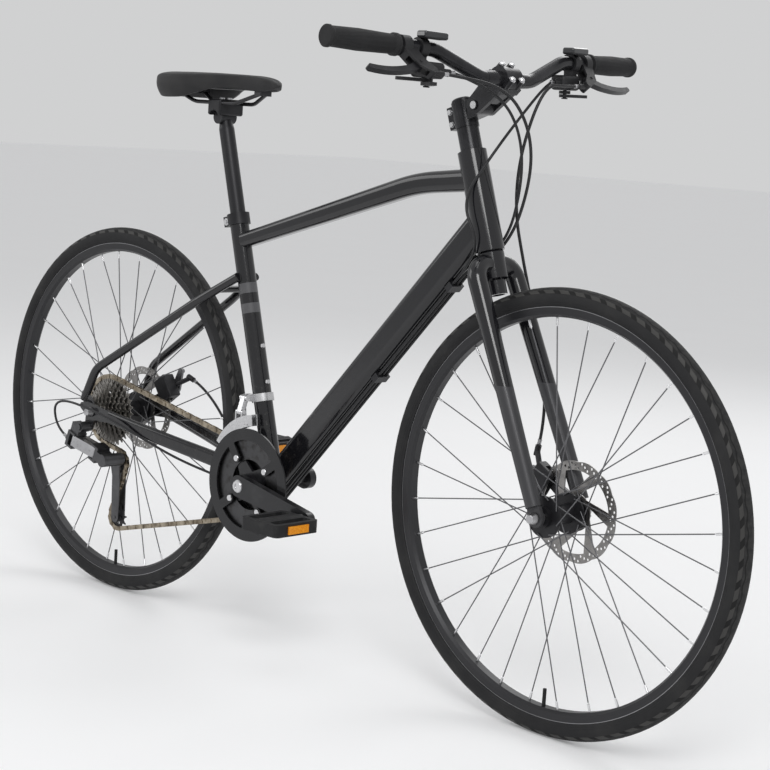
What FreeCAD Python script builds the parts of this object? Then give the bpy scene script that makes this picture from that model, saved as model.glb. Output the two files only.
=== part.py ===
import FreeCAD, Part
import math
import os
import re
import Sketcher

# Hybrid bike. X points forward, Y to the rider's left, Z up. The origin is on the ground midway between
# the axles. Lengths are in millimetres and angles in degrees.

Vector = FreeCAD.Vector
Placement = FreeCAD.Placement
Rotation = FreeCAD.Rotation

SIZES = {
    # Clearances shared by every fit
    "running_gap": 0.1,
    "seat_gap": 0.2,
    "moving_gap": 0.6,
    # Wheels and tyres
    "wheelbase": 1069,
    "bead_seat_diameter": 622,
    "tyre_height": 35,
    "tyre_radius": 17.5,
    "tyre_wall": 3,
    "tube_wall": 1,
    "rim_width": 24,
    "rim_flange_height": 6,
    "rim_flange_wall": 1.5,
    "rim_depth": 10,
    "rim_floor_width": 14,
    "rim_shoulder": 4,
    "valve_radius": 3,
    "valve_length": 40,
    "spoke_count": 32,
    "spoke_radius": 1,
    "nipple_radius": 2,
    "nipple_length": 12,
    # Hubs, axles and quick releases
    "front_hub_spacing": 100,
    "rear_hub_spacing": 135,
    "front_flange_right": 33.5,
    "front_flange_left": 22,
    "rear_flange_right": 19,
    "rear_flange_left": 33,
    "hub_flange_radius": 32,
    "spoke_circle_radius": 28,
    "hub_flange_thickness": 3.2,
    "hub_barrel_radius": 14,
    "front_rotor_setback": 10.5,
    "rear_rotor_setback": 15.3,
    "rotor_seat_radius": 26,
    "rotor_seat_thickness": 4,
    "hub_bearing_radius": 11,
    "hub_bearing_width": 8,
    "axle_radius": 5,
    "locknut_radius": 8.5,
    "locknut_length": 9,
    "skewer_radius": 2.5,
    "skewer_nut_radius": 9,
    "skewer_nut_length": 13,
    "cam_radius": 9.5,
    "cam_length": 13,
    "cam_pin_radius": 4,
    "release_lever_length": 52,
    "release_lever_radius": 6,
    # Disc rotors and calipers
    "rotor_radius": 80,
    "rotor_scallop": 2.2,
    "rotor_petals": 12,
    "rotor_track_width": 15,
    "rotor_thickness": 1.8,
    "rotor_hub_ring": 30,
    "rotor_bolt_circle": 22,
    "rotor_bolt_radius": 2.5,
    "rotor_hole_radius": 2,
    "caliper_length": 46,
    "caliper_depth": 34,
    "caliper_inner_half": 12,
    "pad_thickness": 3.5,
    "pad_gap": 0.5,
    "caliper_arm_length": 34,
    "caliper_arm_thickness": 4,
    "caliper_pin_radius": 4,
    # Frame
    "head_angle": 71,
    "fork_offset": 39,
    "fork_length": 420,
    "head_tube_length": 161,
    "head_tube_radius": 23,
    "head_tube_bore": 18.5,
    "headset_bearing_radius": 20.8,
    "headset_bearing_height": 8,
    "bottom_bracket_drop": 63,
    "chainstay_length": 438,
    "seat_angle": 74,
    "seat_tube_length": 478,
    "seat_tube_radius": 16.75,
    "shell_radius": 21,
    "shell_bore": 17.3,
    "shell_width": 68,
    "top_tube_seat_height": 428,
    "top_tube_head_drop": 46,
    "top_tube_bend": 122,
    "top_tube_front_slope": 6,
    "top_tube_rear_depth": 27,
    "top_tube_front_depth": 36,
    "top_tube_rear_width": 28,
    "top_tube_front_width": 36,
    "tube_wall_thickness": 2,
    "down_tube_depth": 50,
    "down_tube_width": 40,
    "down_tube_corner": 14,
    "down_tube_head_rise": 47,
    "down_tube_foot_ahead": 5,
    "seatstay_radius": 8,
    "seatstay_height": 365,
    "chainstay_depth": 28,
    "chainstay_width": 16,
    "dropout_thickness": 6,
    "eyelet_radius": 2.1,
    "hanger_drop": 29,
    "hanger_setback": 9,
    "collar_height": 20,
    "collar_wall": 3.2,
    # Fork, stem and handlebar
    "steerer_radius": 14.3,
    "steerer_bore": 11,
    "crown_radius": 21,
    "crown_height": 43,
    "crown_plug_radius": 15,
    "crown_plug_height": 25,
    "fork_leg_radius": 15.5,
    "fork_tip_radius": 12.5,
    "fork_leg_spread": 44,
    "fork_shoulder_bend": 28,
    "fork_dropout_thickness": 7,
    "spacer_radius": 17.5,
    "spacer_height": 38,
    "stem_clamp_radius": 19,
    "stem_clamp_height": 42,
    "stem_pivot_reach": 38,
    "stem_pivot_rise": 25,
    "stem_pivot_radius": 15,
    "stem_tongue_half_width": 12,
    "stem_cheek_thickness": 8,
    "stem_length": 59.4,
    "stem_rise_angle": 43.6,
    "bar_clamp_radius": 20,
    "bar_clamp_half_width": 23,
    "bar_centre_radius": 12.7,
    "bar_radius": 11.1,
    "bar_half_width": 352,
    "bar_rise": 40,
    "bar_sweep": 35,
    "bar_centre_half": 58,
    "bar_knee": 150,
    "bar_knee_sweep": 14,
    "bar_knee_rise": 35,
    "bar_bend": 60,
    "grip_length": 128,
    "grip_radius": 15.5,
    # Brake levers and shifters
    "lever_clamp_width": 16,
    "lever_clamp_wall": 4.5,
    "lever_reach": 34,
    "lever_inset": 14,
    "lever_tilt": 50,
    "lever_root_radius": 8,
    "lever_thickness": 9,
    "lever_pin_radius": 2.5,
    "shifter_length": 48,
    "shifter_depth": 28,
    "shifter_height": 24,
    "display_length": 46,
    "display_depth": 22,
    "display_height": 11,
    "trigger_thickness": 5,
    # Drive
    "chain_pitch": 12.7,
    "roller_radius": 3.87,
    "tooth_height": 3.4,
    "inner_ring_teeth": 28,
    "middle_ring_teeth": 36,
    "outer_ring_teeth": 44,
    "ring_thickness": 1.6,
    "inner_ring_line": 42.5,
    "ring_spacing": 7.5,
    "guard_radius": 98.5,
    "guard_band": 20,
    "guard_thickness": 3,
    "guard_standoff": 5.5,
    "ring_bolt_circle": 52,
    "inner_bolt_circle": 32,
    "ring_bolt_radius": 5,
    "spindle_radius": 8.5,
    "crank_length": 170,
    "crank_drop_angle": 9.5,
    "crank_line": 71,
    "crank_thickness": 14,
    "crank_root_radius": 19,
    "crank_tip_radius": 14,
    "pedal_axle_radius": 6,
    "pedal_length": 96,
    "pedal_width": 88,
    "pedal_height": 26,
    "pedal_barrel_radius": 12,
    "pedal_rail": 9,
    "reflector_width": 44,
    "reflector_height": 13,
    "reflector_thickness": 3,
    "cog_spacing": 4.8,
    "cog_thickness": 1.8,
    "smallest_cog_inset": 5.5,
    "freehub_radius": 17,
    "pulley_teeth": 11,
    "pulley_thickness": 1.6,
    # Rear mech
    "guide_pulley_ahead": 34.5,
    "guide_pulley_below": 95,
    "cage_length": 104,
    "cage_pivot_ahead": 13,
    "cage_pivot_above": 10,
    "cage_plate_thickness": 2,
    "cage_half_width": 6.5,
    "cage_pin_radius": 4,
    "pulley_bolt_radius": 3,
    "mech_link_length": 48,
    "mech_link_slope": 20,
    "mech_link_splay": 18,
    "mech_link_gap": 15,
    "mech_link_width": 22,
    "mech_link_radius": 5,
    "mech_pin_radius": 2.2,
    "mech_line": 90,
    "knuckle_reach": 34,
    "hanger_bolt_radius": 5,
    # Front mech
    "front_mech_band_wall": 3,
    "front_mech_band_height": 14,
    "front_mech_clearance": 2,
    "front_mech_cage_depth": 20,
    "front_mech_plate": 1.5,
    "front_mech_inner_line": 33.6,
    "front_mech_gap": 13.5,
    "front_mech_link_length": 26,
    "front_mech_link_width": 10,
    "front_mech_lean": 17,
    # Saddle and seatpost
    "post_radius": 13.6,
    "post_bore": 11,
    "post_length": 350,
    "post_exposed": 174,
    "post_head_radius": 12,
    "post_head_half_width": 17,
    "rail_radius": 3.5,
    "rail_spread": 22,
    "rail_height": 25,
    "saddle_base_height": 49,
    "saddle_base_thickness": 3,
    # Cables
    "brake_cable_radius": 2.5,
    "shift_cable_radius": 2.25,
}

COG_TEETH = (11, 13, 15, 18, 21, 24, 28, 32)
BIKE_RIGHT, BIKE_LEFT = -1, 1
ACROSS = Vector(0, 1, 0)
UP = Vector(0, 0, 1)
FORWARD = Vector(1, 0, 0)

doc = FreeCAD.newDocument("hybrid_bike")
sheet = doc.addObject("Spreadsheet::Sheet", "sizes")
for row, (alias, number) in enumerate(SIZES.items(), 1):
    sheet.set(f"A{row}", alias)
    sheet.set(f"B{row}", str(number))
    sheet.setAlias(f"B{row}", alias)
doc.recompute()


class Cells:
    """Reads a driving size from the sheet by its name."""

    def __getattr__(self, alias):
        return float(sheet.get(alias))


size = Cells()
nodes = []


def node(label, piece):
    """Registers a finished sub-part under the name of its file."""
    piece.Label = label
    nodes.append(piece)
    return piece


def value(expression):
    if isinstance(expression, str):
        return float(sheet.evalExpression(expression))
    return float(expression)


def bound(expression):
    """Rewrites the sheet's names so that another object can refer to them."""
    return re.sub(r"[a-z]\w*",
                  lambda word: word.group() if word.group() == "sqrt" else "sizes." + word.group(),
                  expression)


def bind(piece, **properties):
    """Ties properties of a primitive to the sheet."""
    for name, expression in properties.items():
        if isinstance(expression, str):
            piece.setExpression(name, bound(expression))
        else:
            setattr(piece, name, expression)
    return piece


def feature(label, shape):
    piece = doc.addObject("Part::Feature", label)
    piece.Shape = shape
    return piece


def group(label, pieces):
    piece = doc.addObject("Part::Compound", label)
    piece.Links = pieces
    return piece


def fuse(label, pieces):
    piece = doc.addObject("Part::MultiFuse", label)
    piece.Shapes = pieces
    return piece


def cut(label, base, *tools):
    """Takes each tool in turn out of the base."""
    for tool in tools:
        piece = doc.addObject("Part::Cut", label if tool is tools[-1] else label + "_trim")
        piece.Base = base
        piece.Tool = tool
        base = piece
    return base


def aim(origin, direction):
    """Placement whose local X runs along the direction."""
    return Placement(origin, Rotation(FORWARD, direction))


def axes_at(origin, local_x, local_y):
    """Placement with the given local X and Y directions."""
    return Placement(origin, Rotation(local_x, local_y, local_x.cross(local_y), "XYZ"))


def plate_at(origin, local_x, local_z):
    """Placement with the given local X and Z directions."""
    return Placement(origin, Rotation(local_x, local_z.cross(local_x), local_z, "XZY"))


def side_at(origin):
    """Placement of a plate seen from the right: local X forward, local Y up, thickness to the right."""
    return Placement(origin, Rotation(FORWARD, 90))


def across_at(x, y, z):
    """Placement of a piece turned on a crosswise axis, starting at y and running left."""
    return Placement(Vector(x, y, z), Rotation(UP, 90))


def flat_sketch(body):
    sketch = body.newObject("Sketcher::SketchObject", body.Name + "_sketch")
    plane = [item for item in body.Origin.OriginFeatures if item.Role == "XY_Plane"][0]
    sketch.AttachmentSupport = [(plane, "")]
    sketch.MapMode = "FlatFace"
    return sketch


def outline_edge(start, corner):
    """Edge from a point to a corner; a corner of four numbers is reached by an arc through the last two."""
    end = Vector(corner[0], corner[1], 0)
    if len(corner) == 2:
        return Part.LineSegment(start, end), 1, 2
    via = Vector(corner[2], corner[3], 0)
    turns_left = (via - start).cross(end - via).z > 0
    if turns_left:
        return Part.Arc(start, via, end), 1, 2
    return Part.Arc(end, via, start), 2, 1


def turned(label, outline, place):
    """Piece of revolution about local X, from corners (along, radius) written with the sheet's names."""
    body = doc.addObject("PartDesign::Body", label)
    sketch = flat_sketch(body)
    corners = [[value(part) for part in corner] for corner in outline]
    count = len(corners)
    ends = []
    for index in range(count):
        start = Vector(corners[index][0], corners[index][1], 0)
        edge, first, last = outline_edge(start, corners[(index + 1) % count])
        sketch.addGeometry(edge)
        ends.append((first, last))
    for index in range(count):
        following = (index + 1) % count
        sketch.addConstraint(Sketcher.Constraint("Coincident", index, ends[index][1], following,
                                                 ends[following][0]))
    for index in range(count):
        first = ends[index][0]
        for part, kind, axis in ((0, "DistanceX", -2), (1, "DistanceY", -1)):
            distance = corners[index][part]
            if abs(distance) < 1e-9:
                sketch.addConstraint(Sketcher.Constraint("PointOnObject", index, first, axis))
                continue
            number = sketch.addConstraint(Sketcher.Constraint(kind, -1, 1, index, first, distance))
            if isinstance(outline[index][part], str):
                sketch.setExpression(f"Constraints[{number}]", bound(outline[index][part]))
    revolution = body.newObject("PartDesign::Revolution", label + "_turn")
    revolution.Profile = sketch
    revolution.ReferenceAxis = (sketch, ["H_Axis"])
    revolution.Angle = 360
    body.Placement = place
    return body


def padded(label, loops, thickness, place):
    """Plate padded along local Z. A loop is a list of corners, or a circle as (x, y, radius)."""
    body = doc.addObject("PartDesign::Body", label)
    sketch = flat_sketch(body)
    for loop in loops:
        if isinstance(loop, tuple):
            sketch.addGeometry(Part.Circle(Vector(loop[0], loop[1], 0), UP, loop[2]))
            continue
        for index, corner in enumerate(loop):
            start = Vector(corner[0], corner[1], 0)
            sketch.addGeometry(outline_edge(start, loop[(index + 1) % len(loop)])[0])
    pad = body.newObject("PartDesign::Pad", label + "_pad")
    pad.Profile = sketch
    pad.Length = value(thickness)
    if isinstance(thickness, str):
        pad.setExpression("Length", bound(thickness))
    body.Placement = place
    return body


def rod(label, start, end, radius):
    """Round bar between two points."""
    piece = doc.addObject("Part::Cylinder", label)
    bind(piece, Radius=radius)
    piece.Height = (end - start).Length
    piece.Placement = Placement(start, Rotation(UP, end - start))
    return piece


def ring(label, start, end, outer, inner):
    """Round sleeve between two points."""
    length = (end - start).Length
    return turned(label, [(0, inner), (length, inner), (length, outer), (0, outer)], aim(start, end - start))


def block(label, length, width, height, place):
    """Box centred on its placement."""
    piece = doc.addObject("Part::Box", label)
    bind(piece, Length=length, Width=width, Height=height)
    corner = Vector(-value(length) / 2, -value(width) / 2, -value(height) / 2)
    piece.Placement = place.multiply(Placement(corner, Rotation()))
    return piece


def rounded(label, base, radius):
    """Fillets every edge of a block."""
    doc.recompute()
    piece = doc.addObject("Part::Fillet", label)
    piece.Base = base
    piece.Edges = [(index + 1, radius, radius) for index in range(len(base.Shape.Edges))]
    return piece


def bridge_outline(first, second, first_radius, second_radius):
    """Outline of two discs joined by their outer tangents."""
    run = second - first
    along = Vector(run)
    along.normalize()
    square = Vector(-along.y, along.x, 0)
    slant = (first_radius - second_radius) / run.Length
    rise = math.sqrt(1 - slant * slant)
    over = along * slant + square * rise
    under = along * slant - square * rise
    points = (first + under * first_radius, second + under * second_radius,
              second + over * second_radius, first + over * first_radius)
    tip = second + along * second_radius
    tail = first - along * first_radius
    return [(points[0].x, points[0].y, tail.x, tail.y), (points[1].x, points[1].y),
            (points[2].x, points[2].y, tip.x, tip.y), (points[3].x, points[3].y)]


def flat(point):
    """Side view coordinates of a point: forward and up."""
    return Vector(point.x, point.z, 0)


def polar(radius, angle):
    return (radius * math.cos(angle), radius * math.sin(angle))


def route(points, bends):
    """Wire of straight runs joined by tangent arcs, one bend radius for each inner point."""
    edges = []
    last = points[0]
    for before, corner, after, bend in zip(points, points[1:], points[2:], bends):
        arriving = (corner - before).normalize()
        leaving = (after - corner).normalize()
        turn = arriving.getAngle(leaving)
        reach = bend * math.tan(turn / 2)
        start = corner - arriving * reach
        end = corner + leaving * reach
        inward = (leaving - arriving).normalize()
        middle = corner + inward * (bend / math.cos(turn / 2) - bend)
        edges.append(Part.LineSegment(last, start).toShape())
        edges.append(Part.Arc(start, middle, end).toShape())
        last = end
    edges.append(Part.LineSegment(last, points[-1]).toShape())
    return Part.Wire(edges)


def largest_bends(points):
    """Bend radii that use 0.45 of the shorter run beside each inner point."""
    bends = []
    for before, corner, after in zip(points, points[1:], points[2:]):
        turn = (corner - before).getAngle(after - corner)
        bends.append(0.45 * min((corner - before).Length, (after - corner).Length) / math.tan(turn / 2))
    return bends


def pipe_shape(points, bends, radius):
    """Round pipe along a route."""
    spine = route(points, bends)
    circle = Part.Wire(Part.Circle(points[0], points[1] - points[0], radius).toShape())
    return spine.makePipeShell([circle], True, False)


def oval(centre, wide, tall, width, depth, corner):
    """Rounded rectangle about a centre, in the plane of two directions."""
    def at(across, above):
        return centre + wide * across + tall * above
    half, high = width / 2, depth / 2
    inset = corner * (1 - math.sqrt(0.5))
    edges = []
    for across, above in ((1, 1), (-1, 1), (-1, -1), (1, -1)):
        side = at(across * half, above * (high - corner))
        level = at(across * (half - corner), above * high)
        middle = at(across * (half - inset), above * (high - inset))
        pair = (side, level) if across == above else (level, side)
        edges.append(Part.Arc(pair[0], middle, pair[1]))
    loop = []
    for index, arc in enumerate(edges):
        following = edges[(index + 1) % 4]
        loop.append(arc.toShape())
        loop.append(Part.LineSegment(arc.EndPoint, following.StartPoint).toShape())
    return Part.Wire(loop)


# Layout worked out from the driving sizes
WHEEL_RADIUS = size.bead_seat_diameter / 2 + size.tyre_height
FRONT_AXLE = Vector(size.wheelbase / 2, 0, WHEEL_RADIUS)
REAR_AXLE = Vector(-size.wheelbase / 2, 0, WHEEL_RADIUS)
BOTTOM_BRACKET = REAR_AXLE + Vector(
    math.sqrt(size.chainstay_length ** 2 - size.bottom_bracket_drop ** 2), 0, -size.bottom_bracket_drop)
SEAT_DIRECTION = Vector(-math.cos(math.radians(size.seat_angle)), 0, math.sin(math.radians(size.seat_angle)))
HEAD_DIRECTION = Vector(-math.cos(math.radians(size.head_angle)), 0, math.sin(math.radians(size.head_angle)))
AHEAD = Vector(HEAD_DIRECTION.z, 0, -HEAD_DIRECTION.x)
STEERING_FOOT = FRONT_AXLE - AHEAD * size.fork_offset


def on_steerer(height, ahead=0, left=0):
    """Point at a height along the steering axis, measured from beside the front axle."""
    return STEERING_FOOT + HEAD_DIRECTION * height + AHEAD * ahead + ACROSS * left


def on_seat_tube(height, left=0):
    """Point at a height along the seat tube, measured from the bottom bracket."""
    return BOTTOM_BRACKET + SEAT_DIRECTION * height + ACROSS * left


HEAD_BOTTOM = on_steerer(size.fork_length)
HEAD_TOP = on_steerer(size.fork_length + size.head_tube_length)


# Rims, tyres and inner tubes
def make_rim(name, axle):
    bed = "bead_seat_diameter/2"
    edge = bed + "+rim_flange_height"
    shoulder = bed + "-rim_depth+rim_shoulder"
    floor = bed + "-rim_depth"
    rim = turned(name + "_rim_hoop", [
        (0, edge), (0, shoulder), ("(rim_width-rim_floor_width)/2", floor),
        ("(rim_width+rim_floor_width)/2", floor), ("rim_width", shoulder), ("rim_width", edge),
        ("rim_width-rim_flange_wall", edge), ("rim_width-rim_flange_wall", bed),
        ("rim_flange_wall", bed), ("rim_flange_wall", edge)],
        across_at(axle.x, -size.rim_width / 2, axle.z))
    hole = rod(name + "_valve_hole", axle - UP * (WHEEL_RADIUS * 0.7), axle - UP * WHEEL_RADIUS,
               "valve_radius+seat_gap")
    node(name + "_rim", cut(name + "_rim", rim, hole))


def make_tyre(name, axle):
    middle = "tyre_radius"
    centre = "(bead_seat_diameter/2+tyre_height-tyre_radius)"
    lip = "(bead_seat_diameter/2+rim_flange_height+seat_gap)"
    foot = "(bead_seat_diameter/2+seat_gap)"
    bead = "(rim_width/2-rim_flange_wall-seat_gap)"
    heel = f"({bead}-tyre_wall)"
    lining = "(tyre_radius-tyre_wall)"
    lip_half = f"sqrt(tyre_radius*tyre_radius-({centre}-{lip})*({centre}-{lip}))"
    heel_top = f"{centre}-sqrt({lining}*{lining}-{heel}*{heel})"
    casing = turned(name + "_casing", [
        (f"{middle}+{bead}", foot), (f"{middle}+{bead}", lip), (f"{middle}+{lip_half}", lip),
        (f"{middle}-{lip_half}", lip, middle, f"{centre}+tyre_radius"),
        (f"{middle}-{bead}", lip), (f"{middle}-{bead}", foot), (f"{middle}-{heel}", foot),
        (f"{middle}-{heel}", heel_top),
        (f"{middle}+{heel}", heel_top, middle, f"{centre}+{lining}"), (f"{middle}+{heel}", foot)],
        across_at(axle.x, -size.tyre_radius, axle.z))
    wall = doc.addObject("Part::Torus", name + "_tube_wall")
    hollow = doc.addObject("Part::Torus", name + "_tube_hollow")
    bind(wall, Radius1=centre, Radius2=f"{lining}-seat_gap")
    bind(hollow, Radius1=centre, Radius2=f"{lining}-seat_gap-tube_wall")
    for torus in (wall, hollow):
        torus.Placement = Placement(axle, Rotation(FORWARD, 90))
    tube = cut(name + "_inner_tube", wall, hollow)
    seat = value(f"{centre}-{lining}")
    valve = rod(name + "_valve", axle - UP * seat, axle - UP * (seat - size.valve_length), "valve_radius")
    node(name + "_tyre", group(name + "_tyre", [casing, tube, valve]))


def make_spokes(name, axle, right_flange, left_flange):
    """Spokes laced three cross: each flange carries half, leading ones outside and trailing ones inside."""
    count = int(size.spoke_count)
    step = 2 * math.pi / count
    lean = 6 * step
    rim_reach = size.bead_seat_diameter / 2 - size.rim_depth - 2 * size.seat_gap
    beside = size.hub_flange_thickness / 2 + size.spoke_radius + size.seat_gap
    rim_room = size.hub_flange_radius - size.spoke_circle_radius + 2 * size.spoke_radius
    spokes = []
    for hole in range(count):
        right = hole % 2 == 0
        leading = (hole // 2) % 2 == 0
        rim_angle = (hole + 0.5) * step
        hub_angle = rim_angle - lean if leading else rim_angle + lean
        flange = -right_flange if right else left_flange
        outward = -1 if right else 1
        slant = rim_room * abs(flange) / (rim_reach - size.spoke_circle_radius)
        lateral = flange + outward * (beside + slant if leading else -beside)
        hub_x, hub_z = polar(size.spoke_circle_radius, hub_angle)
        rim_x, rim_z = polar(rim_reach, rim_angle)
        start = axle + Vector(hub_x, lateral, hub_z)
        end = axle + Vector(rim_x, outward * size.nipple_radius, rim_z)
        length = (end - start).Length
        profile = [(0, 0), (0, size.spoke_radius), (length - size.nipple_length, size.spoke_radius),
                   (length - size.nipple_length, size.nipple_radius), (length, size.nipple_radius),
                   (length, 0),
                   (0, 0)]
        face = Part.Face(Part.makePolygon([Vector(along, radius, 0) for along, radius in profile]))
        spoke = face.revolve(Vector(), FORWARD, 360)
        spoke.Placement = aim(start, end - start)
        spokes.append(spoke)
    node(name + "_spokes", feature(name + "_spokes", Part.makeCompound(spokes)))


def make_hub(name, axle, right_end, left_end, right_flange, left_flange):
    """Hub shell with its two bearings; right_end and left_end are distances from the middle."""
    def at(left):
        return right_end + left
    half = size.hub_flange_thickness / 2
    bore = size.hub_bearing_radius - 1.5
    seat = size.hub_bearing_width
    barrel = size.hub_barrel_radius
    shell = turned(name + "_hub_shell", [
        (0, "hub_bearing_radius"), (seat, "hub_bearing_radius"), (seat, bore),
        (at(left_end) - seat, bore), (at(left_end) - seat, "hub_bearing_radius"),
        (at(left_end), "hub_bearing_radius"), (at(left_end), "rotor_seat_radius"),
        (at(left_end) - size.rotor_seat_thickness, "rotor_seat_radius"),
        (at(left_end) - size.rotor_seat_thickness, barrel + 2),
        (at(left_flange) + half, barrel + 2), (at(left_flange) + half, "hub_flange_radius"),
        (at(left_flange) - half, "hub_flange_radius"), (at(left_flange) - half, barrel + 2),
        (at((left_flange - right_flange) / 2), "hub_barrel_radius"),
        (at(-right_flange) + half, barrel + 2), (at(-right_flange) + half, "hub_flange_radius"),
        (at(-right_flange) - half, "hub_flange_radius"), (at(-right_flange) - half, barrel + 2),
        (0, barrel + 2)],
        across_at(axle.x, -right_end, axle.z))
    bearings = []
    for start in (-right_end, left_end - seat):
        bearings.append(turned(name + "_hub_bearing", [
            (0, "axle_radius+running_gap"), ("hub_bearing_width", "axle_radius+running_gap"),
            ("hub_bearing_width", "hub_bearing_radius-running_gap/2"),
            (0, "hub_bearing_radius-running_gap/2")],
            across_at(axle.x, start, axle.z)))
    node(name + "_hub", group(name + "_hub", [shell] + bearings))


def make_rotor(name, axle, seat):
    """Petal disc with a drilled brake track, six slanted arms and six bolts."""
    petals = int(size.rotor_petals)
    step = 2 * math.pi / petals
    valley = size.rotor_radius - size.rotor_scallop
    rim = [polar(valley, (i + 1) * step) + polar(size.rotor_radius, (i + 0.5) * step) for i in range(petals)]
    loops = [rim]
    track = size.rotor_radius - size.rotor_track_width
    windows = 6
    arm = math.radians(9)
    slant = math.radians(34)
    for index in range(windows):
        start = index * 2 * math.pi / windows + arm
        end = (index + 1) * 2 * math.pi / windows - arm
        lower_start, lower_end = start + slant + arm / 2, end + slant - arm / 2
        loops.append([polar(track, start), polar(track, end) + polar(track, (start + end) / 2),
                      polar(size.rotor_hub_ring, lower_end),
                      polar(size.rotor_hub_ring, lower_start)
                      + polar(size.rotor_hub_ring, (lower_start + lower_end) / 2)])
    for row, share in enumerate((0.25, 0.5, 0.72)):
        for index in range(2 * petals):
            angle = (index + row / 3) * step / 2
            loops.append(polar(track + size.rotor_track_width * share, angle) + (size.rotor_hole_radius,))
    loops.append((0, 0, size.rotor_bolt_circle - 4.5))
    bolt_angles = [(index + 0.5) * math.pi / 3 for index in range(6)]
    for angle in bolt_angles:
        loops.append(polar(size.rotor_bolt_circle, angle) + (size.rotor_bolt_radius + size.running_gap,))
    face = axle + ACROSS * (seat + size.rotor_thickness)
    disc = padded(name + "_rotor_disc", loops, "rotor_thickness", side_at(face))
    bolts = []
    for angle in bolt_angles:
        x, z = polar(size.rotor_bolt_circle, angle)
        start = Vector(axle.x + x, seat, axle.z + z)
        bolts.append(turned(name + "_rotor_bolt", [
            (0, 0), (0, "rotor_bolt_radius"), ("rotor_thickness", "rotor_bolt_radius"),
            ("rotor_thickness", "rotor_bolt_radius+1.5"), ("rotor_thickness+2", "rotor_bolt_radius+1"),
            ("rotor_thickness+2", 0)], aim(start, ACROSS)))
    node(name + "_rotor", group(name + "_rotor", [disc] + bolts))


def make_axle(name, axle, spacing, plate, right_inner, left_inner):
    """Fixed axle with locknuts, skewer, right nut and the left cam housing."""
    half = spacing / 2
    face = half + plate + size.seat_gap / 2
    pieces = [turned(name + "_axle_tube", [
        (0, "skewer_radius+running_gap"), (spacing + 2 * plate - 2, "skewer_radius+running_gap"),
        (spacing + 2 * plate - 2, "axle_radius"), (0, "axle_radius")],
        across_at(axle.x, -half - plate + 1, axle.z))]
    for start, end in ((-half, -right_inner), (left_inner, half)):
        pieces.append(turned(name + "_locknut", [
            (0, "axle_radius+running_gap/2"), (end - start, "axle_radius+running_gap/2"),
            (end - start, "locknut_radius"), (0, "locknut_radius")], across_at(axle.x, start, axle.z)))
    nut_end = -face - size.skewer_nut_length
    pieces.append(turned(name + "_skewer", [
        (0, 0), (0, "skewer_radius"), (face + 1 - nut_end - 2, "skewer_radius"), (face + 1 - nut_end - 2, 0)],
        across_at(axle.x, nut_end + 2, axle.z)))
    pieces.append(turned(name + "_skewer_nut", [
        (0, 0), (0, "skewer_nut_radius-3"), (1.5, "skewer_nut_radius-2"),
        ("skewer_nut_length-2", "skewer_nut_radius"), ("skewer_nut_length", "skewer_nut_radius-1"),
        ("skewer_nut_length", "skewer_radius+running_gap/2"), (1.9, "skewer_radius+running_gap/2"), (1.9, 0)],
        across_at(axle.x, nut_end, axle.z)))
    housing = turned(name + "_cam_housing", [
        (0, 0), (0, "cam_radius-1"), (1, "cam_radius"), ("cam_length-1.5", "cam_radius"),
        ("cam_length", "cam_radius-1.5"), ("cam_length", 0)], across_at(axle.x, face + 1.2, axle.z))
    return pieces, housing, face + 1.2 + size.cam_length / 2


def make_quick_release(name, axle, pieces, housing, pin_line, pointing):
    """Cam lever on a cross pin through its housing; pointing is where the closed lever lies."""
    cross = pointing.cross(ACROSS)
    centre = axle + ACROSS * pin_line
    cheek = 2.4
    inner = size.cam_radius + size.moving_gap
    reach = inner + cheek
    bore = rod(name + "_cam_bore", centre - cross * (2 * reach), centre + cross * (2 * reach),
               "cam_pin_radius+running_gap")
    pieces.append(cut(name + "_cam", housing, bore))
    node(name + "_axle", group(name + "_axle", pieces))
    parts = [rod(name + "_lever_pin", centre - cross * reach, centre + cross * reach, "cam_pin_radius")]
    clear = math.hypot(size.cam_radius, size.cam_length / 2) + size.moving_gap
    slim = size.release_lever_radius * 0.7
    arm = bridge_outline(Vector(), Vector(clear + slim, 0, 0), size.cam_pin_radius + 1.5, slim)
    for start in (inner, -reach):
        parts.append(padded(name + "_cheek", [arm], cheek, plate_at(centre + cross * start, pointing, cross)))
    end = size.release_lever_length
    parts.append(padded(name + "_handle", [[
        (clear, -slim), (end, -slim / 2), (end, slim / 2, end + slim / 2, 0), (clear, slim)]],
        2 * reach, plate_at(centre - cross * reach, pointing, cross)))
    node(name + "_quick_release", fuse(name + "_quick_release", parts))


front_right_end = size.front_hub_spacing / 2 - size.locknut_length
front_seat = size.front_hub_spacing / 2 - size.front_rotor_setback
rear_right_end = size.rear_flange_right + size.hub_flange_thickness
rear_seat = size.rear_hub_spacing / 2 - size.rear_rotor_setback

for wheel_name, wheel_axle in (("front", FRONT_AXLE), ("rear", REAR_AXLE)):
    make_rim(wheel_name, wheel_axle)
    make_tyre(wheel_name, wheel_axle)
make_spokes("front", FRONT_AXLE, size.front_flange_right, size.front_flange_left)
make_spokes("rear", REAR_AXLE, size.rear_flange_right, size.rear_flange_left)
make_hub("front", FRONT_AXLE, front_right_end, front_seat, size.front_flange_right, size.front_flange_left)
make_hub("rear", REAR_AXLE, rear_right_end, rear_seat, size.rear_flange_right, size.rear_flange_left)
make_rotor("front", FRONT_AXLE, front_seat)
make_rotor("rear", REAR_AXLE, rear_seat)

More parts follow.
